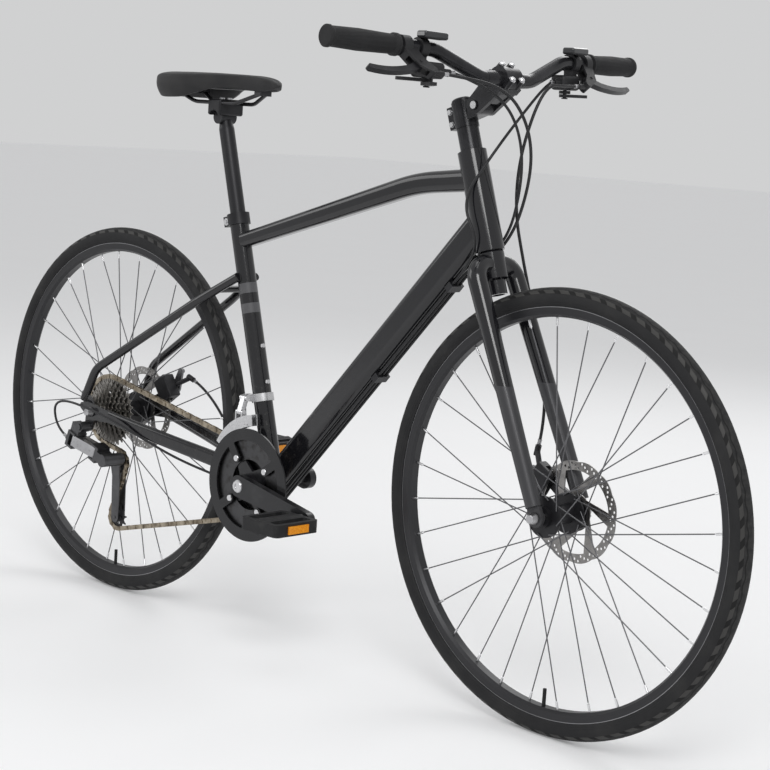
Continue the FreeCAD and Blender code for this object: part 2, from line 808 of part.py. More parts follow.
fork_inner = size.front_hub_spacing / 2
dropout_inner = size.rear_hub_spacing / 2
axle_pieces = make_axle("front", FRONT_AXLE, size.front_hub_spacing, size.fork_dropout_thickness,
                        front_right_end + size.moving_gap, front_seat + size.moving_gap)
make_quick_release("front", FRONT_AXLE, *axle_pieces, Vector(-0.8, 0, -0.6))
axle_pieces = make_axle("rear", REAR_AXLE, size.rear_hub_spacing, size.dropout_thickness,
                        dropout_inner - 1.5, rear_seat + size.moving_gap)
make_quick_release("rear", REAR_AXLE, *axle_pieces, Vector(-0.96, 0, -0.28))


# Frame tubes, each mitred to the tubes that it is welded to
head_solid = rod("head_solid", HEAD_BOTTOM, HEAD_TOP, "head_tube_radius")
seat_top = on_seat_tube(size.seat_tube_length)
seat_solid = rod("seat_solid", BOTTOM_BRACKET, seat_top, "seat_tube_radius")
shell_right = BOTTOM_BRACKET - ACROSS * (size.shell_width / 2)
shell_left = BOTTOM_BRACKET + ACROSS * (size.shell_width / 2)
shell_solid = rod("shell_solid", shell_right, shell_left, "shell_radius")


def make_head_tube():
    seat = "headset_bearing_radius+running_gap/2"
    depth = "headset_bearing_height"
    top = "head_tube_length-headset_bearing_height"
    node("head_tube", turned("head_tube", [
        (0, seat), (depth, seat), (depth, "head_tube_bore"), (top, "head_tube_bore"), (top, seat),
        ("head_tube_length", seat), ("head_tube_length", "head_tube_radius"), (0, "head_tube_radius")],
        aim(HEAD_BOTTOM, HEAD_DIRECTION)))


def make_seat_tube():
    tube = ring("seat_tube_pipe", on_seat_tube(size.shell_radius / 2), seat_top,
                "seat_tube_radius", "post_radius+running_gap")
    shell = ring("bottom_bracket_shell", shell_right, shell_left, "shell_radius", "shell_bore")
    node("seat_tube", group("seat_tube", [cut("seat_tube_mitred", tube, shell_solid), shell]))


TOP_TUBE_HEAD = on_steerer(size.fork_length + size.head_tube_length - size.top_tube_head_drop)
TOP_TUBE_SEAT = on_seat_tube(size.top_tube_seat_height)
front_slope = math.radians(size.top_tube_front_slope)
TOP_TUBE_BEND = TOP_TUBE_HEAD - Vector(math.cos(front_slope), 0, math.sin(front_slope)) * size.top_tube_bend


def make_top_tube():
    """Shaped tube that grows from the seat tube to the head tube and bends gently shortly before it."""
    rear = (TOP_TUBE_BEND - TOP_TUBE_SEAT).normalize()
    rear_slope = math.atan2(rear.z, rear.x)
    ease = size.top_tube_bend / 3
    bend = ease / math.tan((rear_slope - front_slope) / 2)
    centre = TOP_TUBE_BEND - rear * ease + Vector(math.sin(rear_slope), 0, -math.cos(rear_slope)) * bend
    total = TOP_TUBE_HEAD.x - TOP_TUBE_SEAT.x
    stations = [(TOP_TUBE_SEAT, rear_slope)]
    steps = 8
    for step in range(steps + 1):
        slope = rear_slope + (front_slope - rear_slope) * step / steps
        stations.append((centre + Vector(-math.sin(slope), 0, math.cos(slope)) * bend, slope))
    stations.append((TOP_TUBE_HEAD, front_slope))

    def skin(inset):
        sections = []
        for middle, slope in stations:
            share = (middle.x - TOP_TUBE_SEAT.x) / total
            width = size.top_tube_rear_width + (size.top_tube_front_width - size.top_tube_rear_width) * share
            depth = size.top_tube_rear_depth + (size.top_tube_front_depth - size.top_tube_rear_depth) * share
            tall = Vector(-math.sin(slope), 0, math.cos(slope))
            sections.append(oval(middle, ACROSS, tall, width - 2 * inset, depth - 2 * inset,
                                 depth * 0.34 - inset))
        return Part.makeLoft(sections, True, True)

    tube = feature("top_tube_shell", skin(0).cut(skin(size.tube_wall_thickness)))
    node("top_tube", cut("top_tube", tube, seat_solid, head_solid))


DOWN_TUBE_HEAD = on_steerer(size.fork_length + size.down_tube_head_rise)
DOWN_TUBE_FOOT = BOTTOM_BRACKET + FORWARD * size.down_tube_foot_ahead
DOWN_DIRECTION = (DOWN_TUBE_HEAD - DOWN_TUBE_FOOT).normalize()
DOWN_NORMAL = ACROSS.cross(DOWN_DIRECTION) * -1


def rounded_rectangle(width, depth, corner, middle_x=0):
    """Outline of a rounded rectangle about its middle."""
    half, high = width / 2, depth / 2
    inset = corner * (1 - math.sqrt(0.5))
    outline = [(half, high - corner), (half - corner, high, half - inset, high - inset),
               (corner - half, high), (-half, high - corner, inset - half, high - inset),
               (-half, corner - high), (corner - half, -high, inset - half, inset - high),
               (half - corner, -high), (half, corner - high, half - inset, inset - high)]
    return [tuple(part + middle_x * (1 - index % 2) for index, part in enumerate(corner))
            for corner in outline]


def make_down_tube():
    wall = size.tube_wall_thickness
    loops = [rounded_rectangle(size.down_tube_width, size.down_tube_depth, size.down_tube_corner),
             rounded_rectangle(size.down_tube_width - 2 * wall, size.down_tube_depth - 2 * wall,
                               size.down_tube_corner - wall)]
    start = DOWN_TUBE_FOOT + DOWN_DIRECTION * (size.shell_radius * 0.6)
    tube = padded("down_tube_pipe", loops, (DOWN_TUBE_HEAD - start).Length,
                  Placement(start, Rotation(ACROSS, DOWN_NORMAL, DOWN_DIRECTION, "ZXY")))
    node("down_tube", cut("down_tube", tube, head_solid, shell_solid, seat_solid))


DROPOUT_MIDDLE = size.rear_hub_spacing / 2 + size.dropout_thickness / 2
HANGER = Vector(-size.hanger_setback, -size.hanger_drop, 0)
EYELET = Vector(-29, 8, 0)
CALIPER_ANGLE = {"front": math.radians(150), "rear": math.radians(36)}
TAB_REACH = 62


def make_dropouts():
    """Plates that hold the rear axle; the right one carries the mech hanger, the left one the brake tab."""
    plates = []
    brake_tab = Vector(*polar(TAB_REACH, CALIPER_ANGLE["rear"]), 0)
    for hand, outer in ((BIKE_RIGHT, -size.rear_hub_spacing / 2),
                        (BIKE_LEFT, size.rear_hub_spacing / 2 + size.dropout_thickness)):
        place = side_at(REAR_AXLE + ACROSS * outer)
        arms = [(Vector(52, -2, 0), 11), (Vector(-24, 30, 0), 8), (EYELET, 6.5)]
        arms.append((HANGER, 9.5) if hand == BIKE_RIGHT else (brake_tab, 8))
        parts = [padded("dropout_arm", [bridge_outline(Vector(), end, 16, radius)], "dropout_thickness",
                        place)
                 for end, radius in arms]
        reach = ACROSS * (2 * size.dropout_thickness)
        spots = [(Vector(), "axle_radius+running_gap"), (EYELET, "eyelet_radius")]
        if hand == BIKE_RIGHT:
            spots.append((HANGER, "hanger_bolt_radius+running_gap"))
        centre = REAR_AXLE + ACROSS * (hand * DROPOUT_MIDDLE)
        tools = []
        for spot, radius in spots:
            middle = centre + Vector(spot.x, 0, spot.y)
            tools.append(rod("dropout_hole", middle - reach, middle + reach, radius))
        plates.append(cut("dropout", fuse("dropout_plate", parts), *tools))
    node("dropouts", group("dropouts", plates))
    return plates


def make_stays(plates):
    """Bent seatstays and tapered chainstays, each pair with its bridge."""
    seatstays = []
    chainstays = []
    top = on_seat_tube(size.seatstay_height)
    chain_start = BOTTOM_BRACKET + Vector(-10, 0, 6)
    chain_end = REAR_AXLE + Vector(52, 0, -2)
    along = (chain_end - chain_start).normalize()
    tall = ACROSS.cross(along)
    wheel_room = ((0, 23, 1), (0.22, 29.5, 1), (0.45, 43, 0.96), (0.75, 60, 0.9), (1, 69.5, 0.84))
    for hand, plate in zip((BIKE_RIGHT, BIKE_LEFT), plates):
        bend = REAR_AXLE + Vector(2, hand * 68, 82)
        upper = top + Vector(0, hand * 20, 0)
        flare = top + (REAR_AXLE + Vector(2, 0, 82) - top) * 0.24 + ACROSS * (hand * 40)
        foot = REAR_AXLE + Vector(-25, hand * (DROPOUT_MIDDLE + 1.5), 20)
        stay = feature("seatstay_pipe", pipe_shape([upper, flare, bend, foot], (140, 48),
                                                   size.seatstay_radius))
        seatstays.append(cut("seatstay", stay, seat_solid, plate))
        sections = []
        for share, left, taper in wheel_room:
            centre = chain_start + (chain_end - chain_start) * share + ACROSS * (hand * left)
            sections.append(oval(centre, ACROSS, tall, size.chainstay_width * taper,
                                 size.chainstay_depth * taper,
                                 size.chainstay_width * taper * 0.42))
        loft = feature("chainstay_loft", Part.makeLoft(sections, True, False))
        chainstays.append(cut("chainstay", loft, shell_solid, seat_solid, plate))
    brace = top + (REAR_AXLE + Vector(2, 0, 82) - top) * 0.13
    bridge = rod("seatstay_bridge_bar", brace - ACROSS * 30, brace + ACROSS * 30, size.seatstay_radius * 0.75)
    seatstays.append(cut("seatstay_bridge", bridge, *seatstays))
    yoke = chain_start + (chain_end - chain_start) * 0.12
    bar = rod("chainstay_bridge_bar", yoke - ACROSS * 25, yoke + ACROSS * 25, size.seatstay_radius * 0.8)
    chainstays.append(cut("chainstay_bridge", bar, *chainstays))
    node("seatstays", group("seatstays", seatstays))
    node("chainstays", group("chainstays", chainstays))


def make_frame_bearings():
    """Two headset bearings and two bottom bracket cups."""
    rings = []
    top = HEAD_TOP - HEAD_DIRECTION * size.headset_bearing_height
    for start in (HEAD_BOTTOM, top):
        rings.append(turned("headset_bearing", [
            (0, "steerer_radius+running_gap"), ("headset_bearing_height", "steerer_radius+running_gap"),
            ("headset_bearing_height", "headset_bearing_radius"), (0, "headset_bearing_radius")],
            aim(start, HEAD_DIRECTION)))
    cup = 20
    lip = 2.5
    for hand in (BIKE_RIGHT, BIKE_LEFT):
        start = BOTTOM_BRACKET + ACROSS * (hand * (size.shell_width / 2 + lip + 0.05))
        rings.append(turned("bottom_bracket_cup", [
            (0, "spindle_radius+running_gap"), (cup, "spindle_radius+running_gap"),
            (cup, "shell_bore-running_gap"), (lip, "shell_bore-running_gap"), (lip, "shell_radius-1"),
            (0, "shell_radius-1")], aim(start, ACROSS * -hand)))
    node("frame_bearings", group("frame_bearings", rings))


SEAT_FRONT = Vector(SEAT_DIRECTION.z, 0, -SEAT_DIRECTION.x)
CABLE_DROP = 5.5
CABLE_LINES = (-9, 0, 9)
CABLE_GUIDES = (322, 545)


def under_down_tube(distance, left=0, below=0):
    """Point on the underside of the down tube at a distance from the bottom bracket."""
    face = size.down_tube_depth / 2 + below
    return DOWN_TUBE_FOOT + DOWN_DIRECTION * distance - DOWN_NORMAL * face + ACROSS * left


def make_frame_fittings():
    """Seat collar with its bolt, bottle bolts and the cable guides under the down tube."""
    collar_base = on_seat_tube(size.seat_tube_length - size.collar_height)
    sleeve = ring("collar_ring", collar_base, seat_top, "seat_tube_radius+collar_wall",
                  "seat_tube_radius+running_gap/2")
    back = SEAT_FRONT * -(size.seat_tube_radius + size.collar_wall + 3)
    middle = collar_base + SEAT_DIRECTION * (size.collar_height / 2)
    ears = block("collar_ears", 12, 20, size.collar_height - 2,
                 plate_at(middle + back, SEAT_FRONT, SEAT_DIRECTION))
    inside = rod("collar_inside", collar_base - SEAT_DIRECTION * 5, seat_top + SEAT_DIRECTION * 5,
                 "seat_tube_radius+running_gap/2")
    slit = block("collar_slit", 24, 3, size.collar_height + 10,
                 plate_at(middle + back, SEAT_FRONT, SEAT_DIRECTION))
    pieces = [cut("seat_collar", fuse("collar_body", [sleeve, ears]), inside, slit)]
    for hand in (BIKE_RIGHT, BIKE_LEFT):
        pieces.append(rod("collar_bolt", middle + back + ACROSS * (hand * 10.02),
                          middle + back + ACROSS * (hand * 13), 3.6))
    for height in (175, 239):
        start = on_seat_tube(height) + SEAT_FRONT * (size.seat_tube_radius + 0.02)
        pieces.append(bottle_bolt(start, SEAT_FRONT))
    for distance in (230, 294):
        start = DOWN_TUBE_FOOT + DOWN_DIRECTION * distance + DOWN_NORMAL * (size.down_tube_depth / 2 + 0.02)
        pieces.append(bottle_bolt(start, DOWN_NORMAL))
    for distance in CABLE_GUIDES:
        centre = under_down_tube(distance, 0, CABLE_DROP + 0.02)
        base = block("guide_block", 14, 28, 2 * CABLE_DROP, axes_at(centre, DOWN_DIRECTION, ACROSS * -1))
        holes = [rod("guide_hole", under_down_tube(distance - 20, line, CABLE_DROP),
                     under_down_tube(distance + 20, line, CABLE_DROP), "brake_cable_radius+running_gap")
                 for line in CABLE_LINES]
        pieces.append(cut("cable_guide", base, *holes))
    node("frame_fittings", group("frame_fittings", pieces))


def bottle_bolt(start, direction):
    return turned("bottle_bolt", [(0, 0), (0, 4.5), (1, 4.5), (4, 3.6), (4, 0)], aim(start, direction))


make_head_tube()
make_seat_tube()
make_top_tube()
make_down_tube()
make_stays(make_dropouts())
make_frame_bearings()
make_frame_fittings()


# Fork
def make_fork():
    """Unicrown fork: steerer, crown, two bent tapering legs and the axle plates."""
    crown_top = size.fork_length - 2 * size.moving_gap
    crown_base = crown_top - size.crown_height
    plug_base = crown_base - size.crown_plug_height
    stem_top = size.fork_length + size.head_tube_length + size.spacer_height + size.stem_clamp_height
    parts = [
        turned("steerer", [
            (0, "steerer_bore"), (stem_top - plug_base, "steerer_bore"),
            (stem_top - plug_base, "steerer_radius"),
            (crown_top - plug_base, "steerer_radius"), (crown_top - plug_base, "crown_radius-1"),
            (crown_top - plug_base - 2, "crown_radius"), (size.crown_plug_height, "crown_radius"),
            (size.crown_plug_height - 3, "crown_plug_radius"), (0, "crown_plug_radius")],
            aim(on_steerer(plug_base), HEAD_DIRECTION))]
    shoulder = crown_top - size.fork_leg_radius - 3
    for hand in (BIKE_RIGHT, BIKE_LEFT):
        inner = on_steerer(shoulder, 0, hand * 12.5)
        corner = on_steerer(shoulder, 0, hand * size.fork_leg_spread)
        foot = FRONT_AXLE + Vector(-3, hand * (fork_inner + size.fork_dropout_thickness / 2 + 3.5), 17)
        down = (foot - corner).normalize()
        turn = (corner - inner).getAngle(foot - corner)
        below = size.fork_shoulder_bend * math.tan(turn / 2) + 1
        waist = corner + down * below
        parts.append(feature("fork_shoulder", pipe_shape([inner, corner, waist], [size.fork_shoulder_bend],
                                                          size.fork_leg_radius)))
        parts.append(feature("fork_leg", Part.makeCone(size.fork_leg_radius, size.fork_tip_radius,
                                                       (foot - waist).Length, waist, down)))
        outer = -fork_inner if hand == BIKE_RIGHT else fork_inner + size.fork_dropout_thickness
        place = side_at(FRONT_AXLE + ACROSS * outer)
        arms = [(Vector(-9, 30, 0), 9)]
        if hand == BIKE_LEFT:
            arms.append((Vector(*polar(TAB_REACH, CALIPER_ANGLE["front"]), 0), 8))
        bore = (0, 0, size.axle_radius + size.running_gap)
        for end, radius in arms:
            parts.append(padded("fork_dropout", [bridge_outline(Vector(), end, 14, radius), bore],
                                "fork_dropout_thickness", place))
    node("fork", fuse("fork", parts))


make_fork()


# Stem with an adjustable angle, and the handlebar
STEM_BASE = size.fork_length + size.head_tube_length + size.spacer_height
STEM_PIVOT = on_steerer(STEM_BASE + size.stem_pivot_rise, size.stem_pivot_reach)
stem_rise = math.radians(size.stem_rise_angle)
STEM_FORWARD = Vector(math.cos(stem_rise), 0, math.sin(stem_rise))
STEM_UP = Vector(-math.sin(stem_rise), 0, math.cos(stem_rise))
BAR_CENTRE = STEM_PIVOT + STEM_FORWARD * size.stem_length
PIVOT_PIN_RADIUS = 5


def make_stem_clamp():
    """Spacer, clamp with a tongue for the pivot, pinch bolts and top cap."""
    top = STEM_BASE + size.stem_clamp_height
    spacer = ring("stem_spacer", HEAD_TOP + HEAD_DIRECTION * size.moving_gap,
                  on_steerer(STEM_BASE - size.running_gap / 2), "spacer_radius",
                  "steerer_radius+running_gap/2")
    barrel = rod("stem_barrel", on_steerer(STEM_BASE), on_steerer(top), "stem_clamp_radius")
    hub = flat(on_steerer(STEM_BASE + size.stem_pivot_rise))
    pivot = flat(STEM_PIVOT)
    half = size.stem_tongue_half_width
    tongue = padded("stem_tongue", [bridge_outline(hub, pivot, 16, size.stem_pivot_radius),
                                    (pivot.x, pivot.y, PIVOT_PIN_RADIUS + size.running_gap)],
                    "2*stem_tongue_half_width", side_at(ACROSS * half))
    middle = on_steerer(STEM_BASE + size.stem_clamp_height / 2, -size.stem_clamp_radius - 2)
    ears = block("stem_ears", 14, 18, size.stem_clamp_height - 6, plate_at(middle, AHEAD, HEAD_DIRECTION))
    bore = rod("stem_bore", on_steerer(STEM_BASE - 10), on_steerer(top + 10), "steerer_radius+running_gap/2")
    pieces = [spacer, cut("stem_clamp_body", fuse("stem_clamp_solid", [barrel, tongue, ears]), bore)]
    for rise in (-10, 10):
        for hand in (BIKE_RIGHT, BIKE_LEFT):
            start = middle + HEAD_DIRECTION * rise - AHEAD * 1.5 + ACROSS * (hand * 9.02)
            pieces.append(rod("stem_pinch_bolt", start, start + ACROSS * (hand * 3), 4))
    pieces.append(turned("stem_top_cap", [(0, 0), (0, 17.5), (3, 17.5), (5, 15), (5, 4.5), (3.5, 4.5),
                                          (3.5, 0)],
                         aim(on_steerer(top + size.running_gap / 2), HEAD_DIRECTION)))
    node("stem_clamp", group("stem_clamp", pieces))


def make_stem_extension():
    """Two cheeks astride the tongue, the web behind the bar, and the faceplate with four bolts."""
    cheek_start = size.stem_tongue_half_width + size.moving_gap
    cheek_end = cheek_start + size.stem_cheek_thickness
    split = size.running_gap * 3
    face = size.stem_length - split
    round_end = size.stem_pivot_radius
    collar = size.bar_clamp_radius
    outline = [(0, -round_end), (face, -collar), (face, collar), (0, round_end)]
    outline[0] += (-round_end, 0)

    def stem_side(left):
        return plate_at(STEM_PIVOT + ACROSS * left, STEM_FORWARD, ACROSS * -1)

    parts = [padded("stem_cheek", [outline], "stem_cheek_thickness", stem_side(left))
             for left in (cheek_end, -cheek_start)]
    web = round_end + 4
    parts.append(padded("stem_web", [[(web, -14), (face, -collar), (face, collar), (web, 14)]],
                        2 * cheek_start + 2, stem_side(cheek_start + 1)))
    wide = size.bar_clamp_half_width
    parts.append(padded("stem_saddle", [[(face - 12, -collar), (face, -collar), (face, collar),
                                         (face - 12, collar)]],
                        "2*bar_clamp_half_width", stem_side(wide)))
    parts.append(rod("stem_pin", STEM_PIVOT - ACROSS * (cheek_end + 2.5),
                     STEM_PIVOT + ACROSS * (cheek_end + 2.5),
                     PIVOT_PIN_RADIUS))
    for hand in (BIKE_RIGHT, BIKE_LEFT):
        parts.append(rod("stem_pin_head", STEM_PIVOT + ACROSS * (hand * (cheek_end - 1)),
                         STEM_PIVOT + ACROSS * (hand * (cheek_end + 2.5)), 7.5))
    bore = rod("stem_bar_bore", BAR_CENTRE - ACROSS * 60, BAR_CENTRE + ACROSS * 60,
               "bar_centre_radius+running_gap/2")
    pieces = [cut("stem_extension_body", fuse("stem_extension_solid", parts), bore)]
    plate = [padded("faceplate_shell", [[(split, -collar), (split, collar, collar, 0)]], 36,
                    plate_at(BAR_CENTRE + ACROSS * 18, STEM_FORWARD, ACROSS * -1))]
    heads = []
    for hand in (BIKE_RIGHT, BIKE_LEFT):
        for rise in (-16, 16):
            spot = BAR_CENTRE + ACROSS * (hand * 11) + STEM_UP * rise
            plate.append(rod("faceplate_boss", spot + STEM_FORWARD * split, spot + STEM_FORWARD * 17, 5.5))
            heads.append(turned("faceplate_bolt", [(0, 0), (0, 4.6), (2, 4.6), (3.5, 3.4), (3.5, 0)],
                                aim(spot + STEM_FORWARD * 17.02, STEM_FORWARD)))
    pieces.append(cut("faceplate", fuse("faceplate_solid", plate), bore))
    node("stem_extension", group("stem_extension", pieces + heads))


def bar_point(left, back, rise):
    return BAR_CENTRE + Vector(-back, left, rise)


class BarSide:
    """Directions at one straight bar end: outward along it, ahead, above, and the tilted lever plane."""

    def __init__(self, hand):
        self.hand = hand
        self.name = "right" if hand == BIKE_RIGHT else "left"
        self.shoulder = bar_point(hand * size.bar_centre_half, 0, 0)
        self.knee = bar_point(hand * size.bar_knee, size.bar_knee_sweep, size.bar_knee_rise)
        self.end = bar_point(hand * size.bar_half_width, size.bar_sweep, size.bar_rise)
        self.outward = (self.end - self.knee).normalize()
        self.ahead = (FORWARD - self.outward * FORWARD.dot(self.outward)).normalize()
        self.above = self.outward.cross(self.ahead) * -hand
        tilt = math.radians(size.lever_tilt)
        self.reach = self.ahead * math.cos(tilt) - self.above * math.sin(tilt)
        self.axis = self.above * math.cos(tilt) + self.ahead * math.sin(tilt)

    def at(self, inboard, ahead=0, above=0):
        return self.end - self.outward * inboard + self.ahead * ahead + self.above * above

    def lever_plane(self, origin, thickness):
        """Placement with local X outward and local Y along the reach, centred on the lever plane."""
        normal = self.axis * -self.hand
        return plate_at(origin - normal * (thickness / 2), self.outward, normal)

    def level_plane(self, origin):
        """Placement with local X outward and local Y ahead; thickness grows up or down with the hand."""
        return plate_at(origin, self.outward, self.above * -self.hand)


BAR_SIDES = [BarSide(BIKE_RIGHT), BarSide(BIKE_LEFT)]
GRIP_CAP = 3
LEVER_INBOARD = size.grip_length + GRIP_CAP + 3 + size.lever_clamp_width / 2
SHIFTER_INBOARD = LEVER_INBOARD + 50
POD_BELOW = 31
HEEL_REACH = 47
BARREL_LENGTH = 22


def make_handlebar():
    right, left = BAR_SIDES
    spine = [right.end, right.knee, right.shoulder, left.shoulder, left.knee, left.end]
    pipe = feature("bar_pipe", pipe_shape(spine, [size.bar_bend] * 4, size.bar_radius))
    lip = size.bar_radius + 2 * size.running_gap
    sleeve = turned("bar_sleeve", [(0, 0), (0, lip), (20, "bar_centre_radius"), (80, "bar_centre_radius"),
                                   (100, lip),
                                   (100, 0)], aim(BAR_CENTRE - ACROSS * 50, ACROSS))
    node("handlebar", fuse("handlebar", [pipe, sleeve]))
    grips = []
    for side in BAR_SIDES:
        length = size.grip_length + GRIP_CAP
        bore = "bar_radius+running_gap/2"
        grips.append(turned("grip", [
            (0, 0), (0, "grip_radius-1"), (2, "grip_radius+1"), (6, "grip_radius+1"), (9, "grip_radius-0.5"),
            (length * 0.45, "grip_radius+0.8"), (length - 10, "grip_radius-0.8"),
            (length - 6, "grip_radius+1.5"),
            (length, "grip_radius+1.5"), (length, bore), (GRIP_CAP, bore), (GRIP_CAP, 0)],
            aim(side.end + side.outward * (GRIP_CAP + 0.1), side.outward * -1)))
    node("grips", group("grips", grips))


def make_lever_brackets():
    """For each hand a lever bracket with its pin, and a shifter pod with a gear window and a lever pin."""
    pieces = []
    thickness = 17
    for side in BAR_SIDES:
        middle = side.at(LEVER_INBOARD)
        half = side.outward * (size.lever_clamp_width / 2)
        pivot = Vector(-size.lever_inset, size.lever_reach, 0)
        pivot_spot = middle + side.outward * pivot.x + side.reach * pivot.y
        heel = pivot + Vector(-20, HEEL_REACH - size.lever_reach, 0)
        barrel = middle + side.outward * heel.x + side.reach * heel.y
        parts = [
            rod("bracket_ring", middle - half, middle + half, "bar_radius+lever_clamp_wall"),
            padded("bracket_arm", [bridge_outline(Vector(), pivot, 13, 10)], thickness,
                   side.lever_plane(middle, thickness)),
            padded("bracket_heel", [bridge_outline(pivot, heel, 10, 6)], thickness,
                   side.lever_plane(middle, thickness)),
            rod("bracket_barrel", barrel, barrel - side.outward * BARREL_LENGTH, 4.5)]
        bore = rod("bracket_bore", middle - half * 4, middle + half * 4, "bar_radius+running_gap/2")
        room = side.axis * (size.lever_thickness / 2 + size.moving_gap)
        slot = rod("bracket_slot", pivot_spot - room, pivot_spot + room, 20)
        body = cut("bracket_body", fuse("bracket_solid", parts), bore, slot)
        pin = side.axis * (thickness / 2 + 1)
        pieces.append(fuse("lever_bracket", [body, rod("bracket_pin", pivot_spot - pin, pivot_spot + pin,
                                                       "lever_pin_radius")]))
        pieces.append(make_shifter(side))
    node("lever_brackets", group("lever_brackets", pieces))


TRIGGER_PIN_RADIUS = 3
THUMB_LEVEL = POD_BELOW + size.shifter_height / 2 + size.moving_gap
RELEASE_LEVEL = THUMB_LEVEL + size.trigger_thickness + size.moving_gap
TRIGGER_FOOT = RELEASE_LEVEL + size.trigger_thickness + size.moving_gap


def make_shifter(side):
    clamp = SHIFTER_INBOARD - 16
    parts = [
        rod("shifter_ring", side.at(clamp - 7), side.at(clamp + 7), "bar_radius+4"),
        block("shifter_neck", 14, 16, 14, side.level_plane(side.at(clamp, 0, -17))),
        rounded("shifter_pod", block("shifter_box", "shifter_length", "shifter_depth", "shifter_height",
                                     side.level_plane(side.at(SHIFTER_INBOARD, 2, -POD_BELOW))), 6),
        rounded("gear_window", block("gear_window_box", "display_length", "display_depth", "display_height",
                                     side.level_plane(side.at(SHIFTER_INBOARD - 6, 14, 19))), 3.5)]
    end = SHIFTER_INBOARD + size.shifter_length / 2
    parts.append(rod("shifter_barrel", side.at(end - 4, 6, -POD_BELOW), side.at(end + 16, 6, -POD_BELOW),
                     4.5))
    bore = rod("shifter_bore", side.at(clamp - 60), side.at(clamp + 20), "bar_radius+running_gap/2")
    body = cut("shifter_body", fuse("shifter_solid", parts), bore)
    foot = side.at(SHIFTER_INBOARD, 2, -TRIGGER_FOOT)
    pin = rod("trigger_pin", side.at(SHIFTER_INBOARD, 2, -POD_BELOW), foot, TRIGGER_PIN_RADIUS)
    head = rod("trigger_pin_head", foot, foot - side.above * 2, TRIGGER_PIN_RADIUS + 2)
    return fuse("shifter", [body, pin, head])


def make_levers(side):
    """Brake lever blade, thumb lever and release trigger of one hand."""
    middle = side.at(LEVER_INBOARD)
    pivot = middle - side.outward * size.lever_inset + side.reach * size.lever_reach
    root = size.lever_root_radius
    low, high = root * 0.5, root * 0.866
    blade = [(low, -high, -root, 0), (34, 9, 18, 3.5), (98, 13, 66, 14), (99, 21, 104, 17), (32, 19, 64, 23),
             (-low, high, 12, 14)]
    node("brake_lever_" + side.name, padded(
        "brake_lever_" + side.name, [blade, (0, 0, size.lever_pin_radius + size.running_gap)],
        "lever_thickness", side.lever_plane(pivot, size.lever_thickness)))
    hole = (0, 0, TRIGGER_PIN_RADIUS + size.running_gap)
    for kind, level, tip, radius in (("shift", THUMB_LEVEL, Vector(32, -24, 0), 7),
                                     ("release", RELEASE_LEVEL, Vector(12, 28, 0), 6)):
        upper = level if side.hand == BIKE_LEFT else level + size.trigger_thickness
        origin = side.at(SHIFTER_INBOARD, 2, -upper)
        node(f"{kind}_lever_{side.name}", padded(
            f"{kind}_lever_{side.name}", [bridge_outline(Vector(), tip, 9, radius), hole],
            "trigger_thickness",
            side.level_plane(origin)))


make_stem_clamp()
make_stem_extension()
make_handlebar()
make_lever_brackets()
for bar_side in BAR_SIDES:
    make_levers(bar_side)


# Cable disc brakes
CALIPER_PIVOT = 82


